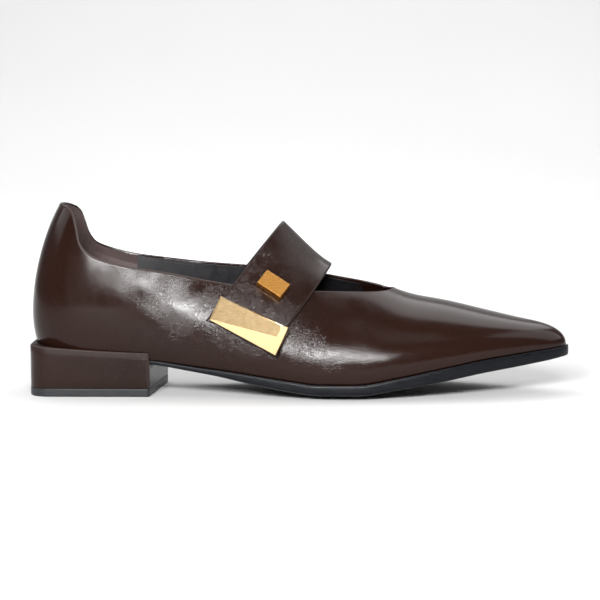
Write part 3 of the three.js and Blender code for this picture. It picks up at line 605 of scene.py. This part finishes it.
heel_turns = np.linspace(-1, 1, 121)
heel_rows = np.linspace(0, 1, 25)
heel_top = edge_rise(np.array([HEEL_STATION - 0.001]), HEEL_LINING_DROP)[0]
seam_lateral = station_at(HEEL_LINING_SEAM_X, -1, heel_rows)
seam_medial = station_at(HEEL_LINING_SEAM_X, 1, heel_rows)
heel_stations = np.where(
    heel_turns[:, None] < 0,
    -(HEEL_STATION + (seam_lateral[None] - HEEL_STATION) * -heel_turns[:, None]),
    HEEL_STATION + (seam_medial[None] - HEEL_STATION) * heel_turns[:, None])
heel_tops = edge_rise(heel_stations[:, -1], HEEL_LINING_DROP)
for _ in range(3):
    heel_rises = HEEL_LINING_FOOT + (heel_tops[:, None] - HEEL_LINING_FOOT) * heel_rows[None]
    seam_lateral = station_at(HEEL_LINING_SEAM_X, -1, heel_rises[0])
    seam_medial = station_at(HEEL_LINING_SEAM_X, 1, heel_rises[-1])
    heel_stations = np.where(
        heel_turns[:, None] < 0,
        -(HEEL_STATION + (seam_lateral[None] - HEEL_STATION) * -heel_turns[:, None]),
        HEEL_STATION + (seam_medial[None] - HEEL_STATION) * heel_turns[:, None])
    heel_tops = edge_rise(heel_stations[:, -1], HEEL_LINING_DROP)
heel_lining = make_piece("heel_lining", *sheet_on_last(heel_stations, heel_rises, HEEL_LINING_OFFSETS), 50)
heel_lining_calf = polished_leather("heel_lining_calf", (0.045, 0.032, 0.030), (0.070, 0.050, 0.047),
                                    (0.04, 0.03, 0.028), (-0.3, -0.2), (-0.19, -0.18), 0.34)
heel_lining.data.materials.append(heel_lining_calf)
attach(heel_lining, "root")

# Topline stitches
# A row of fine dark thread round the folded edge, through leather and lining. The same kind of
# row closes the front edges of the heel lining.
STITCH_PITCH = 2.4
STITCH_LENGTH = 1.9
THREAD_RADIUS = 0.17


def stitch_tree():
    """Lays short stitches end to end along a path."""
    group = bpy.data.node_groups.new("stitch_row", "GeometryNodeTree")
    face = group.interface
    face.new_socket("Path", in_out="INPUT", socket_type="NodeSocketGeometry")
    face.new_socket("Stitch pitch", in_out="INPUT", socket_type="NodeSocketFloat")
    face.new_socket("Stitch length", in_out="INPUT", socket_type="NodeSocketFloat")
    face.new_socket("Thread radius", in_out="INPUT", socket_type="NodeSocketFloat")
    face.new_socket("Thread", in_out="INPUT", socket_type="NodeSocketMaterial")
    face.new_socket("Stitches", in_out="OUTPUT", socket_type="NodeSocketGeometry")
    inlet = group.nodes.new("NodeGroupInput").outputs
    make = lambda kind: group.nodes.new(kind)
    link = group.links.new
    curve = make("GeometryNodeMeshToCurve")
    link(inlet["Path"], curve.inputs["Mesh"])
    spaced = make("GeometryNodeResampleCurve")
    spaced.mode = "LENGTH"
    link(curve.outputs["Curve"], spaced.inputs["Curve"])
    link(inlet["Stitch pitch"], spaced.inputs["Length"])
    ball = make("GeometryNodeMeshUVSphere")
    ball.inputs["Segments"].default_value = 6
    ball.inputs["Rings"].default_value = 5
    ball.inputs["Radius"].default_value = 1.0
    half = make("ShaderNodeMath")
    half.operation = "MULTIPLY"
    half.inputs[1].default_value = 0.5
    link(inlet["Stitch length"], half.inputs[0])
    size = make("ShaderNodeCombineXYZ")
    link(inlet["Thread radius"], size.inputs["X"])
    link(inlet["Thread radius"], size.inputs["Y"])
    link(half.outputs["Value"], size.inputs["Z"])
    shaped = make("GeometryNodeTransform")
    link(ball.outputs["Mesh"], shaped.inputs["Geometry"])
    link(size.outputs["Vector"], shaped.inputs["Scale"])
    along = make("FunctionNodeAlignRotationToVector")
    along.axis = "Z"
    link(make("GeometryNodeInputTangent").outputs["Tangent"], along.inputs["Vector"])
    placed = make("GeometryNodeInstanceOnPoints")
    link(spaced.outputs["Curve"], placed.inputs["Points"])
    link(shaped.outputs["Geometry"], placed.inputs["Instance"])
    link(along.outputs["Rotation"], placed.inputs["Rotation"])
    real = make("GeometryNodeRealizeInstances")
    link(placed.outputs["Instances"], real.inputs["Geometry"])
    painted = make("GeometryNodeSetMaterial")
    link(real.outputs["Geometry"], painted.inputs["Geometry"])
    link(inlet["Thread"], painted.inputs["Material"])
    link(painted.outputs["Geometry"], make("NodeGroupOutput").inputs["Stitches"])
    return group


STITCH_ROW = stitch_tree()

thread, tree, shader = new_material("waxed_thread")
twist = add_node(tree, "ShaderNodeTexWave", {
    "Vector": add_node(tree, "ShaderNodeTexCoord").outputs["Object"], "Scale": 900.0, "Distortion": 2.0,
    "Detail": 2.0}, bands_direction="DIAGONAL").outputs["Fac"]
tree.links.new(colour_between(tree, twist, (0.03, 0.017, 0.013), (0.085, 0.052, 0.04)), shader.inputs["Base Color"])
tree.links.new(stretch(tree, twist, 0.0, 1.0, 0.6, 0.45), shader.inputs["Roughness"])
tree.links.new(raise_grain(tree, twist, 0.5, 0.0001), shader.inputs["Normal"])


def stitch_row(name, paths, pitch=STITCH_PITCH):
    """Stitches along one or more paths, each a list of points in the shoe's millimetres."""
    points, edges = [], []
    for path, closed in paths:
        start, count = sum(len(part) for part in points), len(path)
        edges += [(start + i, start + i + 1) for i in range(count - 1)]
        edges += [(start + count - 1, start)] if closed else []
        points.append(path)
    mesh = bpy.data.meshes.new(name + "_path")
    mesh.from_pydata(((np.concatenate(points) - SHOE_DATUM) / 1000).tolist(), edges, [])
    carrier = bpy.data.objects.new(name + "_path", mesh)
    bpy.context.scene.collection.objects.link(carrier)
    rule = carrier.modifiers.new("stitches", "NODES")
    rule.node_group = STITCH_ROW
    inputs = {item.name: item.identifier for item in STITCH_ROW.interface.items_tree if item.in_out == "INPUT"}
    rule[inputs["Stitch pitch"]] = pitch / 1000
    rule[inputs["Stitch length"]] = STITCH_LENGTH / 1000
    rule[inputs["Thread radius"]] = THREAD_RADIUS / 1000
    rule[inputs["Thread"]] = thread
    bpy.context.view_layer.update()
    solid = bpy.data.meshes.new_from_object(carrier.evaluated_get(bpy.context.evaluated_depsgraph_get()))
    for polygon in solid.polygons:
        polygon.use_smooth = True
    bpy.data.objects.remove(carrier)
    row = bpy.data.objects.new(name, solid)
    bpy.context.scene.collection.objects.link(row)
    return row


def edge_path(drop, offset, count=420):
    """A line round the upper at a drop below the topline and an offset from the last."""
    stations = loop_stations(drop, 2, count)
    throat = throat_station(drop)
    stations = np.concatenate([stations[stations >= throat - 1e-9], stations[stations < -throat - 1e-9]])
    return skin(stations, edge_rise(stations, drop), np.full(len(stations), offset))


STITCH_DROP = 2.2
topline_stitches = stitch_row("topline_stitches", [
    (edge_path(STITCH_DROP, LINING_INNER - 0.02), True)])
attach(topline_stitches, "root")

seam_rises = np.linspace(0.12, 0.97, 60)
seam_paths = []
for side, column in ((-1, 0), (1, -1)):
    path_rises = heel_rises[column, -1] * seam_rises
    path_stations = station_at(HEEL_LINING_SEAM_X - 1.6, side, path_rises)
    seam_paths.append((skin(side * path_stations, path_rises, np.full(60, HEEL_LINING_OFFSETS[1])), False))
heel_lining_stitches = stitch_row("heel_lining_stitches", seam_paths)
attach(heel_lining_stitches, "root")

# Outsole
# One moulded sole with a satin black edge, cambered below and dished above, cemented to the
# lasted upper. It thins under the arch, and its edge carries a fine raised line along the top.
SOLE_MARGIN = [1.2, 1.2, 1.1, 1.0, 1.0, 1.0, 1.0, 1.0, 1.0, 1.0, 0.8, 0.0, -0.3, -0.3, -0.3, -0.3, -0.3]
SOLE_SIDE_ROUND = 0.5
sole_margin = closed_curve(SOLE_MARGIN, SOLE_MARGIN)
sole_stations = ring_stations(281)
sole_beyond = sole_margin(sole_stations)


def sole_side(share, outward_shift):
    low = plate(sole_stations, 1, sole_beyond, underside)
    high = plate(sole_stations, 1, sole_beyond, footbed)
    points = plate(sole_stations, 1, sole_beyond + outward_shift, underside)
    points[:, 2] = low[:, 2] + (high[:, 2] - low[:, 2]) * share
    return points


sole_rows = [plate(sole_stations, share, sole_beyond - SOLE_SIDE_ROUND, underside)
             for share in (0, 0.15, 0.3, SOLE_FLAT_SHARE, 0.6, 0.7, 0.8, 0.9, 0.97)]
sole_rows += [sole_side(share, shift) for share, shift in (
    (0.0, -0.5), (0.03, -0.28), (0.09, -0.1), (0.2, 0.0), (0.45, 0.06), (0.7, 0.03), (0.80, -0.02),
    (0.86, -0.08), (0.885, -0.16), (0.90, -0.05), (0.93, 0.02), (0.97, -0.02), (1.0, -0.14))]
sole_rows += [plate(sole_stations, share, sole_beyond - 0.3, footbed) for share in (1, 0.9, 0.6, 0.3, 0)]
sole_grid = np.stack(sole_rows, 1)
outsole_body = make_piece("outsole_body", sole_grid.reshape(-1, 3),
                          quads(*sole_grid.shape[:2], closed_columns=True), 50)

sole_resin, tree, shader = new_material("sole_resin")
place = add_node(tree, "ShaderNodeTexCoord").outputs["Object"]
height = add_node(tree, "ShaderNodeSeparateXYZ", {"Vector": add_node(
    tree, "ShaderNodeNewGeometry").outputs["Normal"]}).outputs["Z"]
scuffs = add_node(tree, "ShaderNodeTexNoise", {
    "Vector": add_node(tree, "ShaderNodeMapping", {"Vector": place, "Scale": (40.0, 900.0, 900.0)}).outputs["Vector"],
    "Scale": 1.0, "Detail": 5.0, "Roughness": 0.6}).outputs["Fac"]
tree.links.new(colour_between(tree, scuffs, (0.0020, 0.0023, 0.0034), (0.0050, 0.0056, 0.0075)), shader.inputs["Base Color"])
tree.links.new(stretch(tree, scuffs, 0.3, 0.75, 0.30, 0.48), shader.inputs["Roughness"])
tree.links.new(raise_grain(tree, scuffs, 0.25, 0.0001), shader.inputs["Normal"])
shader.inputs["Specular IOR Level"].default_value = 0.15
outsole_body.data.materials.append(sole_resin)
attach(outsole_body, "root")
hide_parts("outsole")

# Heel block
# A low square block covered in the same calf, screwed up through the insole. Its top is cut to
# the seat of the shoe so that a rim stands round the upper, and its breast slants in plan.
TOP_PIECE_HEIGHT = 4.0
HEEL_BREAST_X = 62.6
HEEL_BREAST_SLANT = 5.0
HEEL_BACK_CORNER = 10.0
HEEL_BREAST_CORNER = 1.6
HEEL_EDGE_ROUND = 0.8
RIM_BACK_HEIGHT = 25.5
RIM_FRONT_HEIGHT = 22.0
RIM_SWEEP = 1.4
SEAT_CLEARANCE = 0.2


def heel_plan(inset, side_count=24, corner_count=12):
    """Outline of the heel in plan, from the front outer corner round the back to the front inner one."""
    back, side = HEEL_BACK_X + inset, HEEL_HALF_WIDTH - inset
    lateral_front = HEEL_BREAST_X - inset
    medial_front = lateral_front + HEEL_BREAST_SLANT
    corner = max(HEEL_BACK_CORNER - inset, 1.0)
    nick = HEEL_BREAST_CORNER
    outline = []

    def line(a, b, count):
        outline.extend([(a[0] + (b[0] - a[0]) * i / count, a[1] + (b[1] - a[1]) * i / count) for i in range(count)])

    def turn(centre, radius, start, end):
        for i in range(corner_count):
            angle = math.radians(start + (end - start) * i / corner_count)
            outline.append((centre[0] + radius * math.cos(angle), centre[1] + radius * math.sin(angle)))

    def nip(a, b, c):
        for i in range(6):
            t = i / 6
            outline.append(tuple((1 - t) ** 2 * a[k] + 2 * t * (1 - t) * b[k] + t * t * c[k] for k in (0, 1)))

    line((medial_front - nick, side), (back + corner, side), side_count)
    turn((back + corner, side - corner), corner, 90, 180)
    line((back, side - corner), (back, corner - side), side_count)
    turn((back + corner, corner - side), corner, 180, 270)
    line((back + corner, -side), (lateral_front - nick, -side), side_count)
    nip((lateral_front - nick, -side), (lateral_front, -side), (lateral_front, nick - side))
    line((lateral_front, nick - side), (medial_front, side - nick), side_count)
    nip((medial_front, side - nick), (medial_front, side), (medial_front - nick, side))
    return np.array(outline)


def rim_height(x):
    share = np.clip((x - HEEL_BACK_X) / (HEEL_BREAST_X - HEEL_BACK_X), 0, 1)
    return RIM_FRONT_HEIGHT + (RIM_BACK_HEIGHT - RIM_FRONT_HEIGHT) * (1 - share) ** RIM_SWEEP


def heel_blank(bottom, top, bottom_round, top_round):
    """A closed block on the heel's outline with rounded lower and upper edges."""
    quarter = np.radians(np.linspace(0, 90, 6))
    rings = []
    for angle in quarter:
        plan = heel_plan(bottom_round * (1 - math.sin(angle)))
        rings.append(np.column_stack([plan, np.full(len(plan), bottom + bottom_round * (1 - math.cos(angle)))]))
    for share in (0.25, 0.5, 0.75):
        plan = heel_plan(0)
        low, high = bottom + bottom_round, top(plan[:, 0]) - top_round
        rings.append(np.column_stack([plan, low + (high - low) * share]))
    for angle in quarter:
        plan = heel_plan(top_round * (1 - math.cos(angle)))
        rings.append(np.column_stack([plan, top(plan[:, 0]) - top_round * (1 - math.sin(angle))]))
    middle = np.array([(HEEL_BACK_X + HEEL_BREAST_X) / 2, 0])
    for ring, share in ((rings[-1], 0.6), (rings[-1], 0.0)):
        plan = middle + (ring[:, :2] - middle) * share
        rings.append(np.column_stack([plan, top(plan[:, 0])]))
    floor = [np.column_stack([middle + (rings[0][:, :2] - middle) * share, np.full(len(rings[0]), bottom)])
             for share in (0.0, 0.6)]
    grid = np.stack(floor + rings, 1)
    return grid.reshape(-1, 3), quads(*grid.shape[:2], closed_columns=True)


heel_cover = make_piece("heel_cover", *heel_blank(TOP_PIECE_HEIGHT + 0.12, rim_height, 0.5, HEEL_EDGE_ROUND), 40)

seat_stations = ring_stations(141)
seat_rows = [plate(seat_stations, share, SEAT_CLEARANCE, lambda x, a: underside(x, a) - 0.1)
             for share in (0, SOLE_FLAT_SHARE, 0.8, 1)]
seat_rows += [skin(seat_stations, np.full(len(seat_stations), rise), np.full(len(seat_stations), gap))
              for rise, gap in ((0.02, 0.2), (0.045, 0.3), (0.07, 0.75), (0.1, 1.4), (0.2, 2.6))]
seat_rows.append(plate(seat_stations, 0, 0, lambda x, a: underside(x, 1) + 16))
seat_grid = np.stack(seat_rows, 1)
seat_room = make_piece("seat_room", seat_grid.reshape(-1, 3), quads(*seat_grid.shape[:2], closed_columns=True))
cut = heel_cover.modifiers.new("seat", "BOOLEAN")
cut.operation = "DIFFERENCE"
cut.solver = "EXACT"
cut.object = seat_room
bpy.context.view_layer.update()
carved = bpy.data.meshes.new_from_object(heel_cover.evaluated_get(bpy.context.evaluated_depsgraph_get()))
heel_cover.modifiers.clear()
heel_cover.data = carved
bpy.data.objects.remove(seat_room)

rim_line = heel_plan(0.25)
rim_line = np.column_stack([rim_line, rim_height(rim_line[:, 0]) - 0.2])
breast_line = heel_plan(0)
front_corners = [breast_line[np.argmin(np.hypot(breast_line[:, 0] - x, breast_line[:, 1] - y))]
                 for x, y in ((HEEL_BREAST_X - 0.3, -HEEL_HALF_WIDTH + 0.3),
                              (HEEL_BREAST_X + HEEL_BREAST_SLANT - 0.3, HEEL_HALF_WIDTH - 0.3))]
corner_lines = [np.array([[x, y, z] for z in np.arange(4.5, 21.5, 0.6)]) for x, y in front_corners]
# The rim's top and the breast's front corners are painted lighter: partly rubbed wear, partly a painted highlight along
# the rounded edges.
mark_wear_and_sheen(heel_cover, np.concatenate([rim_line] + corner_lines), 1.3)
heel_calf = polished_leather("heel_calf", ESPRESSO_DARK, ESPRESSO_LIGHT, (0.032, 0.021, 0.018),
                             (-0.10, -0.07), (0.0, 0.02))
heel_cover.data.materials.clear()
heel_cover.data.materials.append(heel_calf)
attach(heel_cover, "root")
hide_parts("heel_block")

# Heel top piece
# A black wear piece of hard rubber, cut to the outline of the heel and nailed and cemented
# under it, its edge buffed flush.
wear_piece = make_piece("wear_piece", *heel_blank(0.0, lambda x: np.full(np.shape(x), TOP_PIECE_HEIGHT + 0.06), 0.45, 0.22), 40)
heel_rubber, tree, shader = new_material("heel_rubber")
buffing = add_node(tree, "ShaderNodeTexNoise", {
    "Vector": add_node(tree, "ShaderNodeMapping", {
        "Vector": add_node(tree, "ShaderNodeTexCoord").outputs["Object"], "Scale": (120.0, 120.0, 1600.0)}).outputs["Vector"],
    "Scale": 1.0, "Detail": 4.0}).outputs["Fac"]
tree.links.new(colour_between(tree, buffing, (0.009, 0.010, 0.011), (0.018, 0.019, 0.021)), shader.inputs["Base Color"])
tree.links.new(stretch(tree, buffing, 0.3, 0.7, 0.34, 0.5), shader.inputs["Roughness"])
tree.links.new(raise_grain(tree, buffing, 0.3, 0.00008), shader.inputs["Normal"])
shader.inputs["Specular IOR Level"].default_value = 0.3
wear_piece.data.materials.append(heel_rubber)
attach(wear_piece, "root")
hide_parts("heel_top_piece")

# Strap
# A wide band of the same calf, folded at both edges over a firm core. It crosses the instep,
# is stitched down low on the inner side, and ends under the gold bar on the outer side.
STRAP_RAKE = 0.78
STRAP_FRONT = 103.5
STRAP_BACK = 61.2
STRAP_LATERAL_END = 0.235
STRAP_MEDIAL_END = 0.26
STRAP_LIFT = 0.3
STRAP_THICKNESS = 2.0


def strap_place(along, across):
    """Station and rise on the strap: along from -1 (outer end) to 1 (inner end), across from front to back."""
    along, across = np.broadcast_arrays(np.asarray(along, float), np.asarray(across, float))
    side = np.where(along < 0, -1.0, 1.0)
    end = np.where(along < 0, STRAP_LATERAL_END, STRAP_MEDIAL_END)
    rise = 1 - np.abs(along) * (1 - end)
    footing = STRAP_FRONT + (STRAP_BACK - STRAP_FRONT) * across
    low, high = np.zeros(along.shape), np.full(along.shape, float(HEEL_STATION))
    for _ in range(40):
        middle = (low + high) / 2
        point = last_point(side * middle, rise)
        ahead = point[..., 0] - STRAP_RAKE * point[..., 2] > footing
        low, high = np.where(ahead, middle, low), np.where(ahead, high, middle)
    return side * low, rise


def strap_skin(along, across, offset):
    station, rise = strap_place(along, across)
    return skin(station, rise, STRAP_LIFT + np.broadcast_to(np.asarray(offset, float), station.shape))


STRAP_EDGE_ROUND = 0.7
strap_along = np.linspace(-1, 1, 181)
strap_across = np.linspace(0.02, 0.98, 41)
grid_along, grid_across = np.meshgrid(strap_along, strap_across, indexing="ij")
strap_face = strap_skin(grid_along, grid_across, STRAP_THICKNESS)
strap_back = strap_skin(grid_along, grid_across, 0.0)
rim_columns = {}
for side, place in (("front", 0), ("back", -1)):
    face, under = strap_face[:, place], strap_back[:, place]
    inner_face = strap_face[:, 1 if place == 0 else -2]
    out = unit(face - under)
    away = unit(face - inner_face)
    reach = 0.85
    profile = [(reach * math.sin(t), STRAP_THICKNESS / 2 + (STRAP_THICKNESS / 2) * math.cos(t))
               for t in np.radians((20, 40, 60, 80, 100, 120, 140, 160))]
    rim_columns[side] = [under + out * height + away * width for width, height in profile]
strap_grid = np.stack([strap_face[:, i] for i in range(41)] + rim_columns["back"]
                      + [strap_back[:, i] for i in range(40, -1, -1)] + rim_columns["front"][::-1], 1)
strap_faces = quads(*strap_grid.shape[:2], closed_rows=True)
strap_rows = strap_grid.shape[1]
strap_faces.append(tuple(range(strap_rows)))
strap_faces.append(tuple((len(strap_grid) - 1) * strap_rows + i for i in range(strap_rows - 1, -1, -1)))
strap_band = make_piece("strap_band", strap_grid.reshape(-1, 3), strap_faces, 60)
# The folded edges of the strap are painted lighter: partly rubbed wear, partly a painted highlight along the edge.
mark_wear_and_sheen(strap_band, np.concatenate([rim_columns["front"][2], rim_columns["back"][2]]), 0.8)
strap_calf = polished_leather("strap_calf", ESPRESSO_DARK, ESPRESSO_LIGHT, (0.036, 0.024, 0.020),
                              (-0.3, -0.2), (-0.004, 0.016), depth=0.0001)
strap_band.data.materials.append(strap_calf)
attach(strap_band, "root")
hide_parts("strap")

# Gold bar and gold stud
# Cast metal, gold plated, clinched through the strap. The bar is wider at its front end and has
# one long cut facet below its face; the stud is a small square-edged block above it.
BAR_LENGTH = 38.0
BAR_BACK_WIDTH = 13.0
BAR_FRONT_WIDTH = 15.0
BAR_THICKNESS = 5.6
BAR_PLACE = (-0.949, 0.45, -0.075)
STUD_LENGTH = 14.6
STUD_WIDTH = 9.6
STUD_HEIGHT = 3.4
STUD_PLACE = (-0.651, 0.514, 0.02)
ORNAMENT_GAP = 0.3

# Faces larger than this, in square metres, are the flat facets between the rounded edges.
FACET_AREA = 8e-6


def ornament_seat(along, across, turn, half_length, half_width):
    """Place and axes of a flat-backed ornament lifted clear of the strap's curve."""
    centre = strap_skin(along, across, STRAP_THICKNESS)
    out = unit(strap_skin(along, across, STRAP_THICKNESS + 1) - centre)
    front = strap_skin(along, max(0.0, across - 0.1), STRAP_THICKNESS) - centre
    front = unit(front - out * np.dot(front, out))
    front = np.array(Matrix.Rotation(turn, 3, Vector(out)) @ Vector(front))
    up = np.cross(out, front)
    height = 0.0
    for step in (-0.12, -0.06, 0, 0.06, 0.12):
        for share in (0, 0.25, 0.5, 0.75, 1):
            spot = strap_skin(max(-1.0, along + step), share, STRAP_THICKNESS) - centre
            if abs(spot @ front) < half_length and abs(spot @ up) < half_width:
                height = max(height, spot @ out)
    return centre + out * (height + ORNAMENT_GAP), np.array([front, up, out])


def cast_piece(name, corners, seat, round_width):
    """A cast block with flat faces through its corners and softly rounded edges."""
    centre, axes = seat
    shape = bmesh.new()
    for corner in corners:
        shape.verts.new(corner)
    hull = bmesh.ops.convex_hull(shape, input=shape.verts)
    loose = [item for item in hull["geom_interior"] + hull["geom_unused"] if isinstance(item, bmesh.types.BMVert)]
    bmesh.ops.delete(shape, geom=loose, context="VERTS")
    bmesh.ops.dissolve_limit(shape, angle_limit=math.radians(2), verts=shape.verts, edges=shape.edges)
    bmesh.ops.bevel(shape, geom=shape.edges[:], offset=round_width, segments=3, profile=0.6, affect="EDGES")
    points = np.array([list(vertex.co) for vertex in shape.verts]) @ axes + centre
    faces = [tuple(vertex.index for vertex in face.verts) for face in shape.faces]
    shape.free()
    piece = make_piece(name, points, faces, 25)
    for polygon in piece.data.polygons:
        polygon.use_smooth = polygon.area < FACET_AREA
    return piece


def gold_plate(name, colour, shade, rough, brush):
    """Polished plating with faint brush lines and small marks."""
    material, tree, shader = new_material(name)
    place = add_node(tree, "ShaderNodeTexCoord").outputs["Object"]
    clouds = grain(tree, 0.006, 3, coordinates=place)
    lines = add_node(tree, "ShaderNodeTexNoise", {
        "Vector": add_node(tree, "ShaderNodeMapping", {
            "Vector": place, "Rotation": (0, math.radians(22), 0), "Scale": (90.0, 2500.0, 2500.0)}).outputs["Vector"],
        "Scale": 1.0, "Detail": 3.0}).outputs["Fac"]
    tree.links.new(colour_between(tree, clouds, shade, colour), shader.inputs["Base Color"])
    tree.links.new(stretch(tree, lines, 0.3, 0.7, rough, rough + 0.08), shader.inputs["Roughness"])
    tree.links.new(raise_grain(tree, lines, brush, 0.00001), shader.inputs["Normal"])
    shader.inputs["Metallic"].default_value = 1.0
    return material


bar_half, bar_top = BAR_LENGTH / 2, BAR_BACK_WIDTH / 2
bar_low = bar_top - BAR_FRONT_WIDTH
bar_corners = [
    (-bar_half, -bar_top, 0), (bar_half, bar_low, 0), (bar_half, bar_top, 0), (-bar_half, bar_top, 0),
    (-18.9, -6.4, 1.31), (18.6, -8.3, 1.75), (18.8, 6.3, 4.93), (-18.8, 6.3, 3.05),
    (-17.9, 5.9, 3.90), (16.0, 5.9, BAR_THICKNESS), (15.6, 0.0, 4.39), (-18.2, -5.7, 1.56)]
bar_seat = ornament_seat(*BAR_PLACE, BAR_LENGTH / 2, BAR_FRONT_WIDTH / 2)
gold_bar = cast_piece("gold_bar", bar_corners, bar_seat, 0.22)
gold_bar.data.materials.append(gold_plate("pale_gold", (0.86, 0.62, 0.33), (0.82, 0.58, 0.30), 0.12, 0.004))
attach(gold_bar, "root")
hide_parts("strap_bar")

stud_corners = []
for side_x in (-1, 1):
    for side_y in (-1, 1):
        x, y = side_x * STUD_LENGTH / 2, side_y * STUD_WIDTH / 2
        stud_corners += [(x, y, 0), (x - side_x * 0.5, y - side_y * 0.5, STUD_HEIGHT)]
stud_seat = ornament_seat(*STUD_PLACE, STUD_LENGTH / 2, STUD_WIDTH / 2)
gold_stud = cast_piece("gold_stud", stud_corners, stud_seat, 0.25)
gold_stud.data.materials.append(gold_plate("deep_gold", (0.76, 0.37, 0.095), (0.70, 0.33, 0.08), 0.24, 0.004))
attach(gold_stud, "root")
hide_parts("strap_stud")

# Studio
# A sweep of white paper under and behind the shoe, lit from overhead, from both sides and by a
# wash on its back. Two small bright strips stand in front, with weak panels to their left and
# above them for the metal. The camera stands at the photograph's angle.
FLOOR_HALF = 3.0
SWEEP_Y = 1.2
SWEEP_RADIUS = 0.9
SWEEP_HEIGHT = 3.0
sweep_profile = [(-FLOOR_HALF, 0.0), (SWEEP_Y, 0.0)]
sweep_profile += [(SWEEP_Y + SWEEP_RADIUS * math.sin(math.radians(a)), SWEEP_RADIUS * (1 - math.cos(math.radians(a))))
                  for a in range(6, 91, 6)]
sweep_profile.append((SWEEP_Y + SWEEP_RADIUS, SWEEP_HEIGHT))
sweep_points = [(x, y, z) for y, z in sweep_profile for x in (-FLOOR_HALF, FLOOR_HALF)]
sweep_faces = [(2 * i, 2 * i + 1, 2 * i + 3, 2 * i + 2) for i in range(len(sweep_profile) - 1)]
paper_mesh = bpy.data.meshes.new("paper_sweep")
paper_mesh.from_pydata(sweep_points, [], sweep_faces)
for polygon in paper_mesh.polygons:
    polygon.use_smooth = True
paper_sweep = bpy.data.objects.new("paper_sweep", paper_mesh)
bpy.context.scene.collection.objects.link(paper_sweep)
paper, tree, shader = new_material("paper")
fibre = grain(tree, 0.4, 2)
tree.links.new(colour_between(tree, fibre, (0.56, 0.56, 0.56), (0.58, 0.58, 0.58)), shader.inputs["Base Color"])
shader.inputs["Roughness"].default_value = 0.9
paper_mesh.materials.append(paper)


def soft_light(name, place, aim, size, power):
    """A rectangular light aimed at a point."""
    light = bpy.data.lights.new(name, "AREA")
    light.shape = "RECTANGLE"
    light.size, light.size_y = size
    light.energy = power
    lamp = bpy.data.objects.new(name, light)
    lamp.location = place
    lamp.rotation_euler = (Vector(aim) - Vector(place)).to_track_quat("-Z", "Y").to_euler()
    bpy.context.scene.collection.objects.link(lamp)


def around(rise, turn, distance):
    """A place at an angle above the floor in front of the shoe and an angle to the right, in degrees."""
    rise, turn = math.radians(rise), math.radians(turn)
    return (distance * math.sin(turn), -distance * math.cos(turn) * math.cos(rise),
            0.03 + distance * math.cos(turn) * math.sin(rise))


SHOE_MIDDLE = (0.0, 0.0, 0.03)
soft_light("overhead", around(122, 0, 1.35), SHOE_MIDDLE, (1.7, 0.95), 15)
soft_light("front_strip", around(22.5, -11, 1.2), SHOE_MIDDLE, (0.28, 0.22), 19)
soft_light("right_strip", around(25, 3, 1.2), SHOE_MIDDLE, (0.24, 0.18), 12)
soft_light("left_panel", around(7, -31, 1.2), SHOE_MIDDLE, (0.5, 0.34), 0.25)
soft_light("top_panel", around(66, 12, 1.3), SHOE_MIDDLE, (0.4, 0.4), 0.4)
soft_light("left_bank", (-1.5, 0.1, 1.2), SHOE_MIDDLE, (1.4, 1.4), 12)
soft_light("right_bank", (1.5, 0.1, 1.2), SHOE_MIDDLE, (1.4, 1.4), 12)
soft_light("background_wash", (0.0, 0.5, 0.9), (0.0, 2.1, 0.25), (2.6, 0.6), 24)

world = bpy.data.worlds.new("studio")
bpy.context.scene.world = world
world.use_nodes = True
world.node_tree.nodes["Background"].inputs["Color"].default_value = (1.0, 1.0, 1.0, 1)
world.node_tree.nodes["Background"].inputs["Strength"].default_value = 0.16
bpy.context.scene.view_settings.view_transform = "Standard"

CAMERA_DISTANCE = 1.0
CAMERA_TURN = math.radians(1.0)
CAMERA_RISE = math.radians(6.4)
CAMERA_AIM = Vector(((136.8 - SHOE_DATUM[0]) / 1000, (0.0 - SHOE_DATUM[1]) / 1000, 0.0458))
view = bpy.data.cameras.new("view")
view.sensor_width = 36
view.lens = 118.58
view.clip_start = 0.05
camera = bpy.data.objects.new("view", view)
back_off = Vector((math.sin(CAMERA_TURN) * math.cos(CAMERA_RISE), -math.cos(CAMERA_TURN) * math.cos(CAMERA_RISE),
                   math.sin(CAMERA_RISE)))
camera.location = CAMERA_AIM + CAMERA_DISTANCE * back_off
camera.rotation_euler = (-back_off).to_track_quat("-Z", "Y").to_euler()
bpy.context.scene.collection.objects.link(camera)
bpy.context.scene.camera = camera
